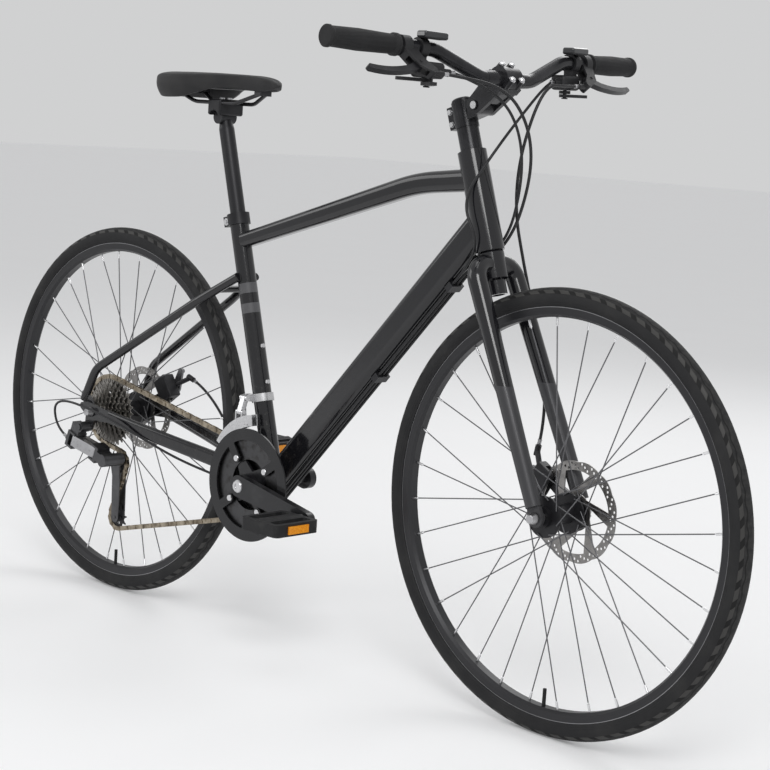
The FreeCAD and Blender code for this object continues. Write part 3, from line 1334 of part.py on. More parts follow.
def make_caliper(name, axle, rotor_line, plate_inner, plate_thickness, pointing, pull):
    """Caliper astride the rotor with its pads, bolt and cable stop, and the arm outside the plate."""
    angle = CALIPER_ANGLE[name]
    out = Vector(math.cos(angle), 0, math.sin(angle))
    along = Vector(-math.sin(angle), 0, math.cos(angle))
    outer = plate_inner - size.seat_gap
    inner = rotor_line - size.caliper_inner_half
    arm_line = plate_inner + plate_thickness + size.moving_gap

    def spot(radius, left, offset=0):
        return axle + out * radius + along * offset + ACROSS * left

    def box(label, inside, outside, width, right, left):
        return block(label, outside - inside, width, left - right,
                     axes_at(spot((inside + outside) / 2, (right + left) / 2), out, along))

    edge = size.rotor_radius - 18
    body = rounded(name + "_caliper_block", box(name + "_caliper_box", edge, edge + size.caliper_depth,
                                                size.caliper_length, inner, outer), 3)
    gap = size.rotor_thickness / 2 + size.pad_gap
    room = gap + size.pad_thickness + size.running_gap
    slot = box(name + "_caliper_slot", edge - 12, size.rotor_radius + 3, 80, rotor_line - room,
               rotor_line + room)
    pivot = spot(CALIPER_PIVOT, 0)
    arm_end = arm_line + size.caliper_arm_thickness
    tip = pivot + pointing * size.caliper_arm_length + ACROSS * (arm_line + size.caliper_arm_thickness / 2)
    stop = tip + pull * 26
    parts = [
        cut(name + "_caliper_body", body, slot),
        rod(name + "_caliper_boss", spot(CALIPER_PIVOT, outer - 2), spot(CALIPER_PIVOT, arm_line - 0.4), 8),
        rod(name + "_caliper_pin", spot(CALIPER_PIVOT, outer - 2), spot(CALIPER_PIVOT, arm_end + 1),
            "caliper_pin_radius"),
        rod(name + "_caliper_cap", spot(CALIPER_PIVOT, arm_end + 0.4), spot(CALIPER_PIVOT, arm_end + 2.4),
            6.5),
        rod(name + "_stop_arm", spot(edge + 26, outer - 4), stop + pull * 4, 4.5),
        rod(name + "_stop_barrel", stop - pull * 3, stop + pull * 14, 5)]
    pieces = [fuse(name + "_caliper_frame", parts)]
    pad_middle = gap + size.pad_thickness / 2
    for side in (-1, 1):
        line = rotor_line + side * pad_middle
        pieces.append(box(name + "_pad", edge + 2, size.rotor_radius + 1, 22,
                          line - size.pad_thickness / 2, line + size.pad_thickness / 2))
    bolt = spot(TAB_REACH, plate_inner + plate_thickness + 0.02)
    pieces.append(turned(name + "_caliper_bolt", [(0, 0), (0, 4.5), (2.5, 4.5), (3.5, 3.5), (3.5, 0)],
                         aim(bolt, ACROSS)))
    node(name + "_caliper", group(name + "_caliper", pieces))
    bar = bridge_outline(Vector(), flat(pointing) * size.caliper_arm_length, 11, 6)
    plate = padded(name + "_arm_plate", [bar, (0, 0, size.caliper_pin_radius + size.running_gap)],
                   "caliper_arm_thickness", side_at(pivot + ACROSS * arm_end))
    clamp = tip + ACROSS * (size.caliper_arm_thickness / 2)
    anchor = rod(name + "_arm_anchor", clamp - ACROSS, clamp + ACROSS * 4, 4)
    node(name + "_caliper_arm", fuse(name + "_caliper_arm", [plate, anchor]))
    return stop + pull * 14


FRONT_PULL = Vector(0.2, 0, 0.98).normalize()
REAR_PULL = Vector(0.95, 0, -0.31).normalize()
FRONT_STOP = make_caliper("front", FRONT_AXLE, front_seat + size.rotor_thickness / 2, fork_inner,
                          size.fork_dropout_thickness, Vector(-FRONT_PULL.z, 0, FRONT_PULL.x), FRONT_PULL)
REAR_STOP = make_caliper("rear", REAR_AXLE, rear_seat + size.rotor_thickness / 2, dropout_inner,
                         size.dropout_thickness, Vector(-REAR_PULL.z, 0, REAR_PULL.x), REAR_PULL)


# Chain line: the chain runs on the inner ring and the largest cog and through the two mech pulleys
def pitch_radius(teeth):
    return size.chain_pitch / (2 * math.sin(math.pi / teeth))


CHAIN_RING = int(size.inner_ring_teeth)
LARGE_COG = max(COG_TEETH)
PULLEY = int(size.pulley_teeth)
COG_LINE = -(dropout_inner - size.smallest_cog_inset) + size.cog_spacing * (len(COG_TEETH) - 1)
RING_LINE = -size.inner_ring_line
GUIDE_PULLEY = REAR_AXLE + Vector(size.guide_pulley_ahead, COG_LINE, -size.guide_pulley_below)


class Wrap:
    """A toothed wheel on the chain path; sense is -1 where the chain runs clockwise seen from the right."""

    def __init__(self, centre, teeth, sense, line):
        self.centre = Vector(centre.x, centre.z, 0)
        self.teeth = teeth
        self.sense = sense
        self.line = line
        self.radius = pitch_radius(teeth)


def chain_path(lean):
    """Pieces of the chain loop in travel order, with the cage leaning back by an angle."""
    tension = GUIDE_PULLEY + Vector(-math.sin(lean), 0, -math.cos(lean)) * size.cage_length
    wheels = [Wrap(BOTTOM_BRACKET, CHAIN_RING, -1, RING_LINE), Wrap(tension, PULLEY, -1, COG_LINE),
              Wrap(GUIDE_PULLEY, PULLEY, 1, COG_LINE), Wrap(REAR_AXLE, LARGE_COG, -1, COG_LINE)]
    leaving, arriving = [], []
    for index, wheel in enumerate(wheels):
        following = wheels[(index + 1) % len(wheels)]
        run = following.centre - wheel.centre
        offset = following.sense * following.radius - wheel.sense * wheel.radius
        heading = math.atan2(run.y, run.x) - math.asin(offset / run.Length)
        normal = Vector(-math.sin(heading), math.cos(heading), 0)
        leaving.append(wheel.centre - normal * (wheel.sense * wheel.radius))
        arriving.append(following.centre - normal * (following.sense * following.radius))
    pieces = []
    for index, wheel in enumerate(wheels):
        enter = arriving[index - 1] - wheel.centre
        leave = leaving[index] - wheel.centre
        start = math.atan2(enter.y, enter.x)
        sweep = ((math.atan2(leave.y, leave.x) - start) * wheel.sense) % (2 * math.pi)
        pieces.append(("arc", wheel, start, sweep * wheel.teeth / (2 * math.pi)))
        following = wheels[(index + 1) % len(wheels)]
        first = Vector(leaving[index].x, wheel.line, leaving[index].y)
        last = Vector(arriving[index].x, following.line, arriving[index].y)
        pieces.append(("run", first, last, (last - first).Length / size.chain_pitch))
    return tension, pieces


def chain_units(lean):
    return sum(piece[3] for piece in chain_path(lean)[1])


def even_chain():
    """Cage lean nearest upright at which the loop holds an even number of whole links."""
    count = 2 * round(chain_units(0) / 2)
    low, high = math.radians(-30), math.radians(30)
    rising = chain_units(high) > chain_units(low)
    for _ in range(60):
        middle = (low + high) / 2
        if (chain_units(middle) < count) == rising:
            low = middle
        else:
            high = middle
    return count, low


LINK_COUNT, CAGE_LEAN = even_chain()
TENSION_PULLEY, CHAIN_PIECES = chain_path(CAGE_LEAN)


def chain_pins():
    """Pin positions at whole link steps, and the angle of one roller seat on each wheel."""
    pins = []
    seats = []
    before = 0
    for kind, first, second, units in CHAIN_PIECES:
        index = math.ceil(before - 1e-9)
        if kind == "arc":
            turn = first.sense * 2 * math.pi / first.teeth
            seats.append(second + turn * (index - before))
        while index < before + units - 1e-9 and index < LINK_COUNT:
            if kind == "arc":
                x, z = polar(first.radius, second + turn * (index - before))
                pins.append(Vector(first.centre.x + x, first.line, first.centre.y + z))
            else:
                pins.append(first + (second - first) * ((index - before) / units))
            index += 1
        before += units
    return pins, seats


CHAIN_PINS, ROLLER_SEATS = chain_pins()
RING_PHASE, TENSION_PHASE, GUIDE_PHASE, COG_PHASE = ROLLER_SEATS


def make_chain():
    """Inner links with rollers alternate with outer links with pins."""
    pitch = size.chain_pitch
    end = 4.2
    inner_face, inner_plate, outer_face, outer_plate = 1.5, 0.8, 2.5, 0.8
    pin_radius = 1.8

    def plate(level, thickness, bore):
        outline = bridge_outline(Vector(), Vector(pitch, 0, 0), end, end)
        edges = []
        for index, corner in enumerate(outline):
            start = Vector(corner[0], corner[1], 0)
            edges.append(outline_edge(start, outline[(index + 1) % 4])[0].toShape())
        solid = Part.Face(Part.Wire(edges)).extrude(UP * thickness)
        solid.translate(UP * level)
        for x in (0, pitch):
            if bore:
                solid = solid.cut(Part.makeCylinder(bore, 10, Vector(x, 0, -5)))
        return solid

    roller = Part.makeCylinder(size.roller_radius, 2 * inner_face, Vector(0, 0, -inner_face))
    roller = roller.cut(Part.makeCylinder(pin_radius + 0.1, 10, Vector(0, 0, -5)))
    second_roller = roller.copy()
    second_roller.translate(FORWARD * pitch)
    wide = [plate(inner_face, inner_plate, pin_radius + 0.1),
            plate(-inner_face - inner_plate, inner_plate, pin_radius + 0.1)]
    inner_link = wide[0].fuse([wide[1], roller, second_roller])
    pin = Part.makeCylinder(pin_radius, 7, Vector(0, 0, -3.5))
    second_pin = pin.copy()
    second_pin.translate(FORWARD * pitch)
    outer_link = plate(outer_face, outer_plate, 0).fuse([
        plate(-outer_face - outer_plate, outer_plate, 0), pin, second_pin])
    links = []
    for index, pin_at in enumerate(CHAIN_PINS):
        following = CHAIN_PINS[(index + 1) % len(CHAIN_PINS)]
        along = (following - pin_at).normalize()
        axis = (ACROSS - along * ACROSS.dot(along)).normalize()
        link = (inner_link if index % 2 == 0 else outer_link).copy()
        link.Placement = plate_at(pin_at, along, axis)
        links.append(link)
    node("chain", feature("chain", Part.makeCompound(links)))


def toothed_loop(teeth, phase):
    """Roller seats joined by straight flanks to a short flat on every tooth."""
    radius = pitch_radius(teeth)
    tip = radius + size.tooth_height
    flat_half = 0.9 / tip
    seat = size.roller_radius + 0.25
    open_angle = math.radians(60)
    step = 2 * math.pi / teeth
    loop = []
    for index in range(teeth):
        angle = phase + index * step
        x, y = polar(radius, angle)

        def seat_point(turn):
            return (x + seat * math.cos(angle + math.pi + turn), y + seat * math.sin(angle + math.pi + turn))

        loop.append(seat_point(open_angle))
        loop.append(seat_point(-open_angle) + seat_point(0))
        loop.append(polar(tip, angle + step / 2 - flat_half))
        loop.append(polar(tip, angle + step / 2 + flat_half))
    return loop


def wheel_plate(label, centre, line, teeth, phase, bore, thickness, holes=()):
    """Toothed plate on a crosswise axis, centred on its chain line."""
    origin = Vector(centre.x, line + value(thickness) / 2, centre.z)
    return padded(label, [toothed_loop(teeth, phase), (0, 0, bore)] + list(holes), thickness, side_at(origin))


def make_cassette():
    """Freehub body with eight cogs, their spacers and the lockring."""
    bore = size.freehub_radius + size.running_gap / 2
    hub_end = dropout_inner - size.smallest_cog_inset + size.cog_thickness / 2
    pieces = [turned("freehub", [
        (0, "axle_radius+running_gap"), (hub_end - rear_right_end - 1, "axle_radius+running_gap"),
        (hub_end - rear_right_end - 1, "freehub_radius+3"),
        (hub_end - rear_right_end - 3, "freehub_radius+3"),
        (hub_end - rear_right_end - 3, "freehub_radius"), (-1, "freehub_radius"),
        (-1, "axle_radius+running_gap")],
        across_at(REAR_AXLE.x, -hub_end, REAR_AXLE.z))]
    half = size.cog_thickness / 2
    for index, teeth in enumerate(COG_TEETH):
        line = -(dropout_inner - size.smallest_cog_inset) + index * size.cog_spacing
        phase = COG_PHASE if teeth == LARGE_COG else 0
        holes = []
        root = pitch_radius(teeth) - size.roller_radius
        if root > 2 * size.freehub_radius:
            middle = (root + size.freehub_radius) / 2
            holes = [polar(middle, (turn + index / 4) * math.pi / 3) + ((root - size.freehub_radius) * 0.28,)
                     for turn in range(6)]
        pieces.append(wheel_plate("cog", REAR_AXLE, line, teeth, phase, bore, "cog_thickness", holes))
        if teeth != LARGE_COG:
            start = Vector(REAR_AXLE.x, line + half + 0.02, REAR_AXLE.z)
            pieces.append(ring("cog_spacer", start, start + ACROSS * (size.cog_spacing - 2 * half - 0.04),
                               "freehub_radius+1.2", bore))
    start = Vector(REAR_AXLE.x, -hub_end - 0.02, REAR_AXLE.z)
    pieces.append(ring("lockring", start, start - ACROSS * 1.4, "freehub_radius+1.8", bore))
    node("cassette", group("cassette", pieces))


crank_drop = math.radians(size.crank_drop_angle)
CRANK_FORWARD = Vector(math.cos(crank_drop), 0, -math.sin(crank_drop))
RIGHT_PEDAL = BOTTOM_BRACKET + CRANK_FORWARD * size.crank_length
LEFT_PEDAL = BOTTOM_BRACKET - CRANK_FORWARD * size.crank_length
MIDDLE_LINE = RING_LINE - size.ring_spacing
OUTER_LINE = MIDDLE_LINE - size.ring_spacing
SPIDER_ANGLES = [math.radians(35.5 + 90 * index) for index in range(4)]
PEDAL_START = size.crank_line + size.crank_thickness + 6


def make_cranks():
    """Right arm with its spider, left arm, spindle, arm bolts and the pedal axles."""
    line, thick = size.crank_line, size.crank_thickness
    hole = size.spindle_radius + size.running_gap / 2
    pieces = []
    spider_start = MIDDLE_LINE - size.ring_thickness / 2 - size.running_gap
    spider_end = OUTER_LINE + size.ring_thickness / 2 + size.running_gap
    for hand, pedal in ((BIKE_RIGHT, CRANK_FORWARD), (BIKE_LEFT, CRANK_FORWARD * -1)):
        start = -line if hand == BIKE_RIGHT else line + thick
        outline = bridge_outline(Vector(), flat(pedal) * size.crank_length, size.crank_root_radius,
                                 size.crank_tip_radius)
        parts = [padded("crank_bar", [outline], "crank_thickness", side_at(BOTTOM_BRACKET + ACROSS * start))]
        if hand == BIKE_RIGHT:
            for angle in SPIDER_ANGLES:
                tip = Vector(*polar(size.ring_bolt_circle, angle), 0)
                parts.append(padded("spider_arm", [bridge_outline(Vector(), tip, 20, 9)],
                                    spider_start - spider_end,
                                    side_at(BOTTOM_BRACKET + ACROSS * spider_start)))
            parts.append(rod("spider_boss", BOTTOM_BRACKET + ACROSS * spider_start,
                             BOTTOM_BRACKET - ACROSS * (line + 2), 20))
        reach = ACROSS * (hand * (line + thick * 2))
        bore = rod("crank_bore", BOTTOM_BRACKET, BOTTOM_BRACKET + reach, hole)
        tip = BOTTOM_BRACKET + pedal * size.crank_length
        thread = rod("pedal_thread", tip, tip + reach, "pedal_axle_radius+running_gap/2")
        solid = fuse("crank_solid", parts) if len(parts) > 1 else parts[0]
        pieces.append(cut("crank_arm", solid, bore, thread))
        outside = BOTTOM_BRACKET + ACROSS * (hand * (line + thick + 0.02))
        pieces.append(turned("crank_bolt", [(0, 0), (0, 11), (1.5, 11), (3.5, 9), (3.5, 5), (2, 5), (2, 0)],
                             aim(outside, ACROSS * hand)))
        pieces.append(rod("pedal_axle", tip + ACROSS * (hand * line),
                          tip + ACROSS * (hand * (PEDAL_START + size.pedal_length - 6)), "pedal_axle_radius"))
    pieces.append(rod("spindle", BOTTOM_BRACKET - ACROSS * (line + thick),
                      BOTTOM_BRACKET + ACROSS * (line + thick),
                      "spindle_radius"))
    node("crank_arms", group("crank_arms", pieces))


def make_chainrings():
    """Three rings, the slotted guard, and the bolts and sleeves that hold them to the spider."""
    thick = size.ring_thickness
    pieces = []
    for line, teeth, bore in ((RING_LINE, CHAIN_RING, size.inner_bolt_circle - 8),
                              (MIDDLE_LINE, int(size.middle_ring_teeth), size.ring_bolt_circle - 8),
                              (OUTER_LINE, int(size.outer_ring_teeth), size.ring_bolt_circle - 8)):
        phase = RING_PHASE if teeth == CHAIN_RING else 0
        pieces.append(wheel_plate("chainring", BOTTOM_BRACKET, line, teeth, phase, bore, "ring_thickness"))
    guard_start = OUTER_LINE - thick / 2 - size.guard_standoff + 2
    face = side_at(BOTTOM_BRACKET + ACROSS * guard_start)
    parts = [padded("guard_band_ring", [(0, 0, size.guard_radius),
                                        (0, 0, size.guard_radius - size.guard_band)],
                    "guard_thickness", face)]
    spider_face = MIDDLE_LINE - thick / 2 - size.running_gap
    for angle in SPIDER_ANGLES:
        inside = Vector(*polar(size.ring_bolt_circle, angle), 0)
        outside = Vector(*polar(size.guard_radius - size.guard_band / 2, angle), 0)
        parts.append(padded("guard_arm", [bridge_outline(inside, outside, 8, 8)], "guard_thickness", face))
        spot = BOTTOM_BRACKET + Vector(inside.x, 0, inside.y)
        pieces.append(rod("guard_sleeve", spot + ACROSS * (OUTER_LINE - thick / 2 - 0.02),
                          spot + ACROSS * (guard_start + 0.02), "ring_bolt_radius"))
        head = spot + ACROSS * (guard_start - size.guard_thickness - 0.02)
        pieces.append(turned("ring_bolt", [(0, 0), (0, "ring_bolt_radius+1"), (1.5, "ring_bolt_radius"),
                                           (1.5, 0)],
                             aim(head, ACROSS * -1)))
        post_x, post_z = polar(size.inner_bolt_circle, angle)
        post = BOTTOM_BRACKET + Vector(post_x, 0, post_z)
        pieces.append(rod("inner_ring_post", post + ACROSS * (RING_LINE - thick / 2 - 0.02),
                          post + ACROSS * (spider_face + 0.02), "ring_bolt_radius"))
    pieces.append(fuse("chain_guard", parts))
    node("chainrings", group("chainrings", pieces))


def make_pedal(hand, centre):
    """Open cage pedal with a barrel round its axle and a reflector on the front and rear faces."""
    name = "pedal_right" if hand == BIKE_RIGHT else "pedal_left"
    width, length, height = size.pedal_width, size.pedal_length, size.pedal_height
    middle = centre + ACROSS * (hand * (PEDAL_START + length / 2))
    inner = size.pedal_barrel_radius + 4
    outer = width / 2 - size.pedal_rail
    windows = [rounded_rectangle(outer - inner, length - 2 * size.pedal_rail, 5, side * (inner + outer) / 2)
               for side in (-1, 1)]
    plate = height * 0.8
    frame = padded(name + "_frame", [rounded_rectangle(width, length, 9)] + windows, plate,
                   Placement(middle - UP * (plate / 2), Rotation()))
    barrel = rod(name + "_barrel", middle - ACROSS * (length / 2), middle + ACROSS * (length / 2),
                 "pedal_barrel_radius")
    bore = rod(name + "_bore", middle - ACROSS * (hand * (length / 2 + 1)),
               middle + ACROSS * (hand * (length / 2 - 5)), "pedal_axle_radius+running_gap")
    pieces = [cut(name + "_body", fuse(name + "_solid", [frame, barrel]), bore)]
    for side in (-1, 1):
        spot = middle + FORWARD * (side * (width / 2 + size.reflector_thickness / 2 + 0.02))
        pieces.append(block(name + "_reflector", "reflector_thickness", "reflector_width", "reflector_height",
                            Placement(spot, Rotation())))
    node(name, group(name, pieces))


make_cassette()
make_cranks()
make_chainrings()
make_pedal(BIKE_RIGHT, RIGHT_PEDAL)
make_pedal(BIKE_LEFT, LEFT_PEDAL)
make_chain()


# Rear mech: base on the hanger, two parallel links, knuckle, cage and pulleys
CAGE_PIVOT = GUIDE_PULLEY + Vector(size.cage_pivot_ahead, 0, size.cage_pivot_above)
mech_slope = math.radians(size.mech_link_slope)
MECH_ALONG = Vector(math.cos(mech_slope), 0, -math.sin(mech_slope))
MECH_AXIS = Vector(math.sin(mech_slope), 0, math.cos(mech_slope))
mech_splay = math.radians(size.mech_link_splay)
LINK_RUN = Vector(size.mech_link_length * math.cos(mech_splay),
                  size.mech_link_length * math.sin(mech_splay), 0)
LINK_GAP = Vector(0, size.mech_link_gap, 0)
MECH_ORIGIN = CAGE_PIVOT - MECH_ALONG * (size.knuckle_reach + LINK_RUN.x)
MECH_ORIGIN.y = -size.mech_line
HANGER_BOLT = REAR_AXLE + Vector(HANGER.x, 0, HANGER.y)


def on_mech(along, left, level):
    return MECH_ORIGIN + MECH_ALONG * along + ACROSS * left + MECH_AXIS * level


def mech_slab(label, outline, low, high):
    """Slab square to the link pins between two levels."""
    return padded(label, [outline], high - low, plate_at(on_mech(0, 0, low), MECH_ALONG, MECH_AXIS))


def rectangle(left, right, low, high):
    return [(left, low), (right, low), (right, high), (left, high)]


def make_mech_links():
    half = size.mech_link_width / 2
    hole = size.mech_pin_radius + size.running_gap
    for label, start in (("outer_link", Vector()), ("inner_link", LINK_GAP)):
        end = start + LINK_RUN
        node(label, padded(label, [bridge_outline(start, end, size.mech_link_radius, size.mech_link_radius),
                                   (start.x, start.y, hole), (end.x, end.y, hole)],
                           "mech_link_width", plate_at(on_mech(0, 0, -half), MECH_ALONG, MECH_AXIS)))


def mech_clevis(label, near, far, web, start):
    """Two tabs joined by a web, with a pin for each link."""
    inside = size.mech_link_width / 2 + size.moving_gap
    outside = inside + 4
    low, high = start.y - 7, start.y + size.mech_link_gap + 7
    parts = [mech_slab(label + "_tab", rectangle(near, far, low, high), inside, outside),
             mech_slab(label + "_tab", rectangle(near, far, low, high), -outside, -inside),
             mech_slab(label + "_web", rectangle(*web, low, high), -outside, outside)]
    for spot in (start, start + LINK_GAP):
        parts.append(rod(label + "_pin", on_mech(spot.x, spot.y, -outside), on_mech(spot.x, spot.y, outside),
                         "mech_pin_radius"))
    return parts


MECH_CABLE_END = on_mech(-24, 2, -6)


def make_mech_base():
    parts = mech_clevis("mech_base", -16, 5, (-16, -9), Vector())
    parts.append(mech_slab("mech_neck", rectangle(-14, 10, -4, 15), 14, 34))
    parts.append(rod("mech_barrel", on_mech(-12, 2, -6), MECH_CABLE_END, 4.5))
    face = -dropout_inner - size.dropout_thickness
    inside = face + size.dropout_thickness + 1
    outside = face - 21
    parts.append(rod("mech_boss", HANGER_BOLT + ACROSS * (face - size.seat_gap),
                     HANGER_BOLT + ACROSS * outside, 10))
    parts.append(rod("hanger_bolt", HANGER_BOLT + ACROSS * inside, HANGER_BOLT + ACROSS * (face - 5),
                     "hanger_bolt_radius"))
    parts.append(rod("hanger_bolt_head", HANGER_BOLT + ACROSS * (outside + 1),
                     HANGER_BOLT + ACROSS * (outside - 2.5),
                     6.5))
    node("rear_mech_base", fuse("rear_mech_base", parts))


CAGE_OUTER = COG_LINE - size.cage_half_width - size.cage_plate_thickness


def make_knuckle():
    far = LINK_RUN.x + 16
    parts = mech_clevis("knuckle", LINK_RUN.x - 5, far, (LINK_RUN.x + 9, far), LINK_RUN)
    low, high = LINK_RUN.y - 7, LINK_RUN.y + size.mech_link_gap + 7
    parts.append(mech_slab("knuckle_neck", rectangle(far - 4, LINK_RUN.x + size.knuckle_reach, low, high),
                           -9, 9))
    pivot = Vector(CAGE_PIVOT.x, 0, CAGE_PIVOT.z)
    parts.append(rod("knuckle_barrel", pivot + ACROSS * (low - size.mech_line),
                     pivot + ACROSS * (CAGE_OUTER - size.moving_gap), 12))
    parts.append(rod("cage_pin", pivot + ACROSS * (CAGE_OUTER - 5),
                     pivot + ACROSS * (CAGE_OUTER + size.cage_plate_thickness + 0.5), "cage_pin_radius"))
    node("knuckle", fuse("knuckle", parts))


def make_cage():
    """Two plates held apart by the pulley bolts; the outer plate reaches to the cage pivot."""
    guide, tension, pivot = (flat(point) for point in (GUIDE_PULLEY, TENSION_PULLEY, CAGE_PIVOT))
    inner = COG_LINE + size.cage_half_width + size.cage_plate_thickness
    outer = COG_LINE - size.cage_half_width
    long_plate = bridge_outline(guide, tension, 11, 10)
    parts = [padded("cage_plate", [long_plate], "cage_plate_thickness", side_at(ACROSS * start))
             for start in (inner, outer)]
    parts.append(padded("cage_ear", [bridge_outline(guide, pivot, 11, 11)], "cage_plate_thickness",
                        side_at(ACROSS * outer)))
    for point in (GUIDE_PULLEY, TENSION_PULLEY):
        spot = Vector(point.x, 0, point.z)
        parts.append(rod("pulley_bolt", spot + ACROSS * (CAGE_OUTER - 1), spot + ACROSS * (inner + 1),
                         "pulley_bolt_radius"))
    hole = rod("cage_pivot_hole", Vector(pivot.x, outer + 5, pivot.y), Vector(pivot.x, outer - 10, pivot.y),
               "cage_pin_radius+running_gap")
    node("cage", cut("cage", fuse("cage_solid", parts), hole))
    for name, centre, phase in (("guide", GUIDE_PULLEY, GUIDE_PHASE),
                                ("tension", TENSION_PULLEY, TENSION_PHASE)):
        windows = [polar(11.5, index * 2 * math.pi / 5) + (3.5,) for index in range(5)]
        node(name + "_pulley", wheel_plate(name + "_pulley", centre, COG_LINE, PULLEY, phase,
                                           size.pulley_bolt_radius + size.running_gap, "pulley_thickness",
                                           windows))


make_mech_links()
make_mech_base()
make_knuckle()
make_cage()


# Front mech: band on the seat tube, swing link and cage
MECH_CAGE_INNER = size.guard_radius + size.front_mech_clearance
MECH_CAGE_OUTER = MECH_CAGE_INNER + size.front_mech_cage_depth
mech_lean = math.radians(size.front_mech_lean)
LINK_FOOT = BOTTOM_BRACKET + Vector(
    -52, -size.front_mech_inner_line - size.front_mech_gap / 2,
    math.sqrt((MECH_CAGE_OUTER + 9) ** 2 - 52 ** 2))
LINK_HEAD = LINK_FOOT + Vector(0, math.sin(mech_lean), math.cos(mech_lean)) * size.front_mech_link_length


FRONT_MECH_STOP = LINK_HEAD + Vector(-21, 10, -18)


def sector(inner, outer, start, end):
    """Outline of part of an annulus between two angles in degrees."""
    first, last = math.radians(start), math.radians(end)
    middle = (first + last) / 2
    return [polar(inner, first) + polar(inner, middle), polar(outer, first),
            polar(outer, last) + polar(outer, middle), polar(inner, last)]


def crosswise(point):
    """Coordinates of a point in the plane square to the travel: left and up."""
    return Vector(point.y, point.z, 0)


def link_plane(x):
    """Placement with local X to the left and local Y up; thickness grows forward."""
    return Placement(Vector(x, 0, 0), Rotation(ACROSS, UP, FORWARD, "XYZ"))


def make_front_mech():
    half = size.front_mech_link_width / 2
    hole = size.mech_pin_radius + size.running_gap
    head, foot = crosswise(LINK_HEAD), crosswise(LINK_FOOT)
    middle = LINK_HEAD.x
    ear = half + size.moving_gap
    ear_thickness = 3
    node("front_mech_link", padded("front_mech_link", [
        bridge_outline(head, foot, 5, 5), (head.x, head.y, hole), (foot.x, foot.y, hole)],
        "front_mech_link_width", link_plane(middle - half)))
    band_middle = on_seat_tube((LINK_HEAD.z - BOTTOM_BRACKET.z) / SEAT_DIRECTION.z)
    rise = SEAT_DIRECTION * (size.front_mech_band_height / 2)
    body = [rod("mech_band", band_middle - rise, band_middle + rise, "seat_tube_radius+front_mech_band_wall")]
    root = Vector(-20, head.y, 0)
    for start in (middle + ear, middle - ear - ear_thickness):
        body.append(padded("mech_body_ear", [bridge_outline(root, head, 6, 5)], ear_thickness,
                           link_plane(start)))
    body.append(block("mech_body_block", 2 * (ear + ear_thickness), 10, 12,
                      Placement(Vector(middle, -20, LINK_HEAD.z), Rotation())))
    body.append(rod("mech_cable_stop", Vector(middle - ear, -20, LINK_HEAD.z - 2), FRONT_MECH_STOP + UP * 4,
                    4))
    seat = rod("mech_band_bore", band_middle - rise * 4, band_middle + rise * 4,
               "seat_tube_radius+running_gap/2")
    pin = FORWARD * (ear + ear_thickness)
    node("front_mech_body", fuse("front_mech_body", [
        cut("mech_body_bored", fuse("mech_body_solid", body), seat),
        rod("mech_body_pin", LINK_HEAD - pin, LINK_HEAD + pin, "mech_pin_radius")]))
    inner = -size.front_mech_inner_line
    outer = inner - size.front_mech_gap
    plate = size.front_mech_plate
    cage = [padded("mech_cage_plate", [sector(MECH_CAGE_INNER, MECH_CAGE_OUTER, 98, 150)], "front_mech_plate",
                   side_at(BOTTOM_BRACKET + ACROSS * start)) for start in (inner, outer + plate)]
    for low, high, angles in ((MECH_CAGE_OUTER - 5, MECH_CAGE_OUTER, (106, 124)),
                              (MECH_CAGE_INNER, MECH_CAGE_INNER + 4, (145, 150))):
        cage.append(padded("mech_cage_bridge", [sector(low, high, *angles)],
                           "front_mech_gap", side_at(BOTTOM_BRACKET + ACROSS * inner)))
    below = Vector(foot.x, foot.y - 16, 0)
    for start in (middle + ear, middle - ear - ear_thickness):
        cage.append(padded("mech_cage_ear", [bridge_outline(below, foot, 5, 5)], ear_thickness,
                           link_plane(start)))
    cage.append(rod("mech_cage_pin", LINK_FOOT - pin, LINK_FOOT + pin, "mech_pin_radius"))
    node("front_mech_cage", fuse("front_mech_cage", cage))


make_front_mech()


# Seatpost and saddle
POST_TOP = on_seat_tube(size.seat_tube_length + size.post_exposed)


def at_saddle(ahead, left, above):
    """Point measured from the head of the seatpost."""
    return POST_TOP + Vector(ahead, left, above)


def make_seatpost():
    bottom = POST_TOP - SEAT_DIRECTION * size.post_length
    tube_top = POST_TOP - SEAT_DIRECTION * (size.post_head_radius * 0.6)
    wide = ACROSS * size.post_head_half_width
    tube = turned("post_tube", [
        (0, "post_bore"), (size.post_length - 30, "post_bore"), (size.post_length - 30, 0),
        ((tube_top - bottom).Length, 0), ((tube_top - bottom).Length, "post_radius-2.5"),
        ((tube_top - bottom).Length - 14, "post_radius"), (0, "post_radius")], aim(bottom, SEAT_DIRECTION))
    node("seatpost", fuse("seatpost", [tube, rod("post_head", POST_TOP - wide, POST_TOP + wide,
                                                 "post_head_radius")]))


def rail_route(hand):
    spread = size.rail_spread * hand
    under = size.saddle_base_height - size.rail_radius - 1
    return [at_saddle(-100, 32 * hand, under), at_saddle(-58, spread, size.rail_height),
            at_saddle(50, spread, size.rail_height), at_saddle(99, 6.5 * hand, under)]


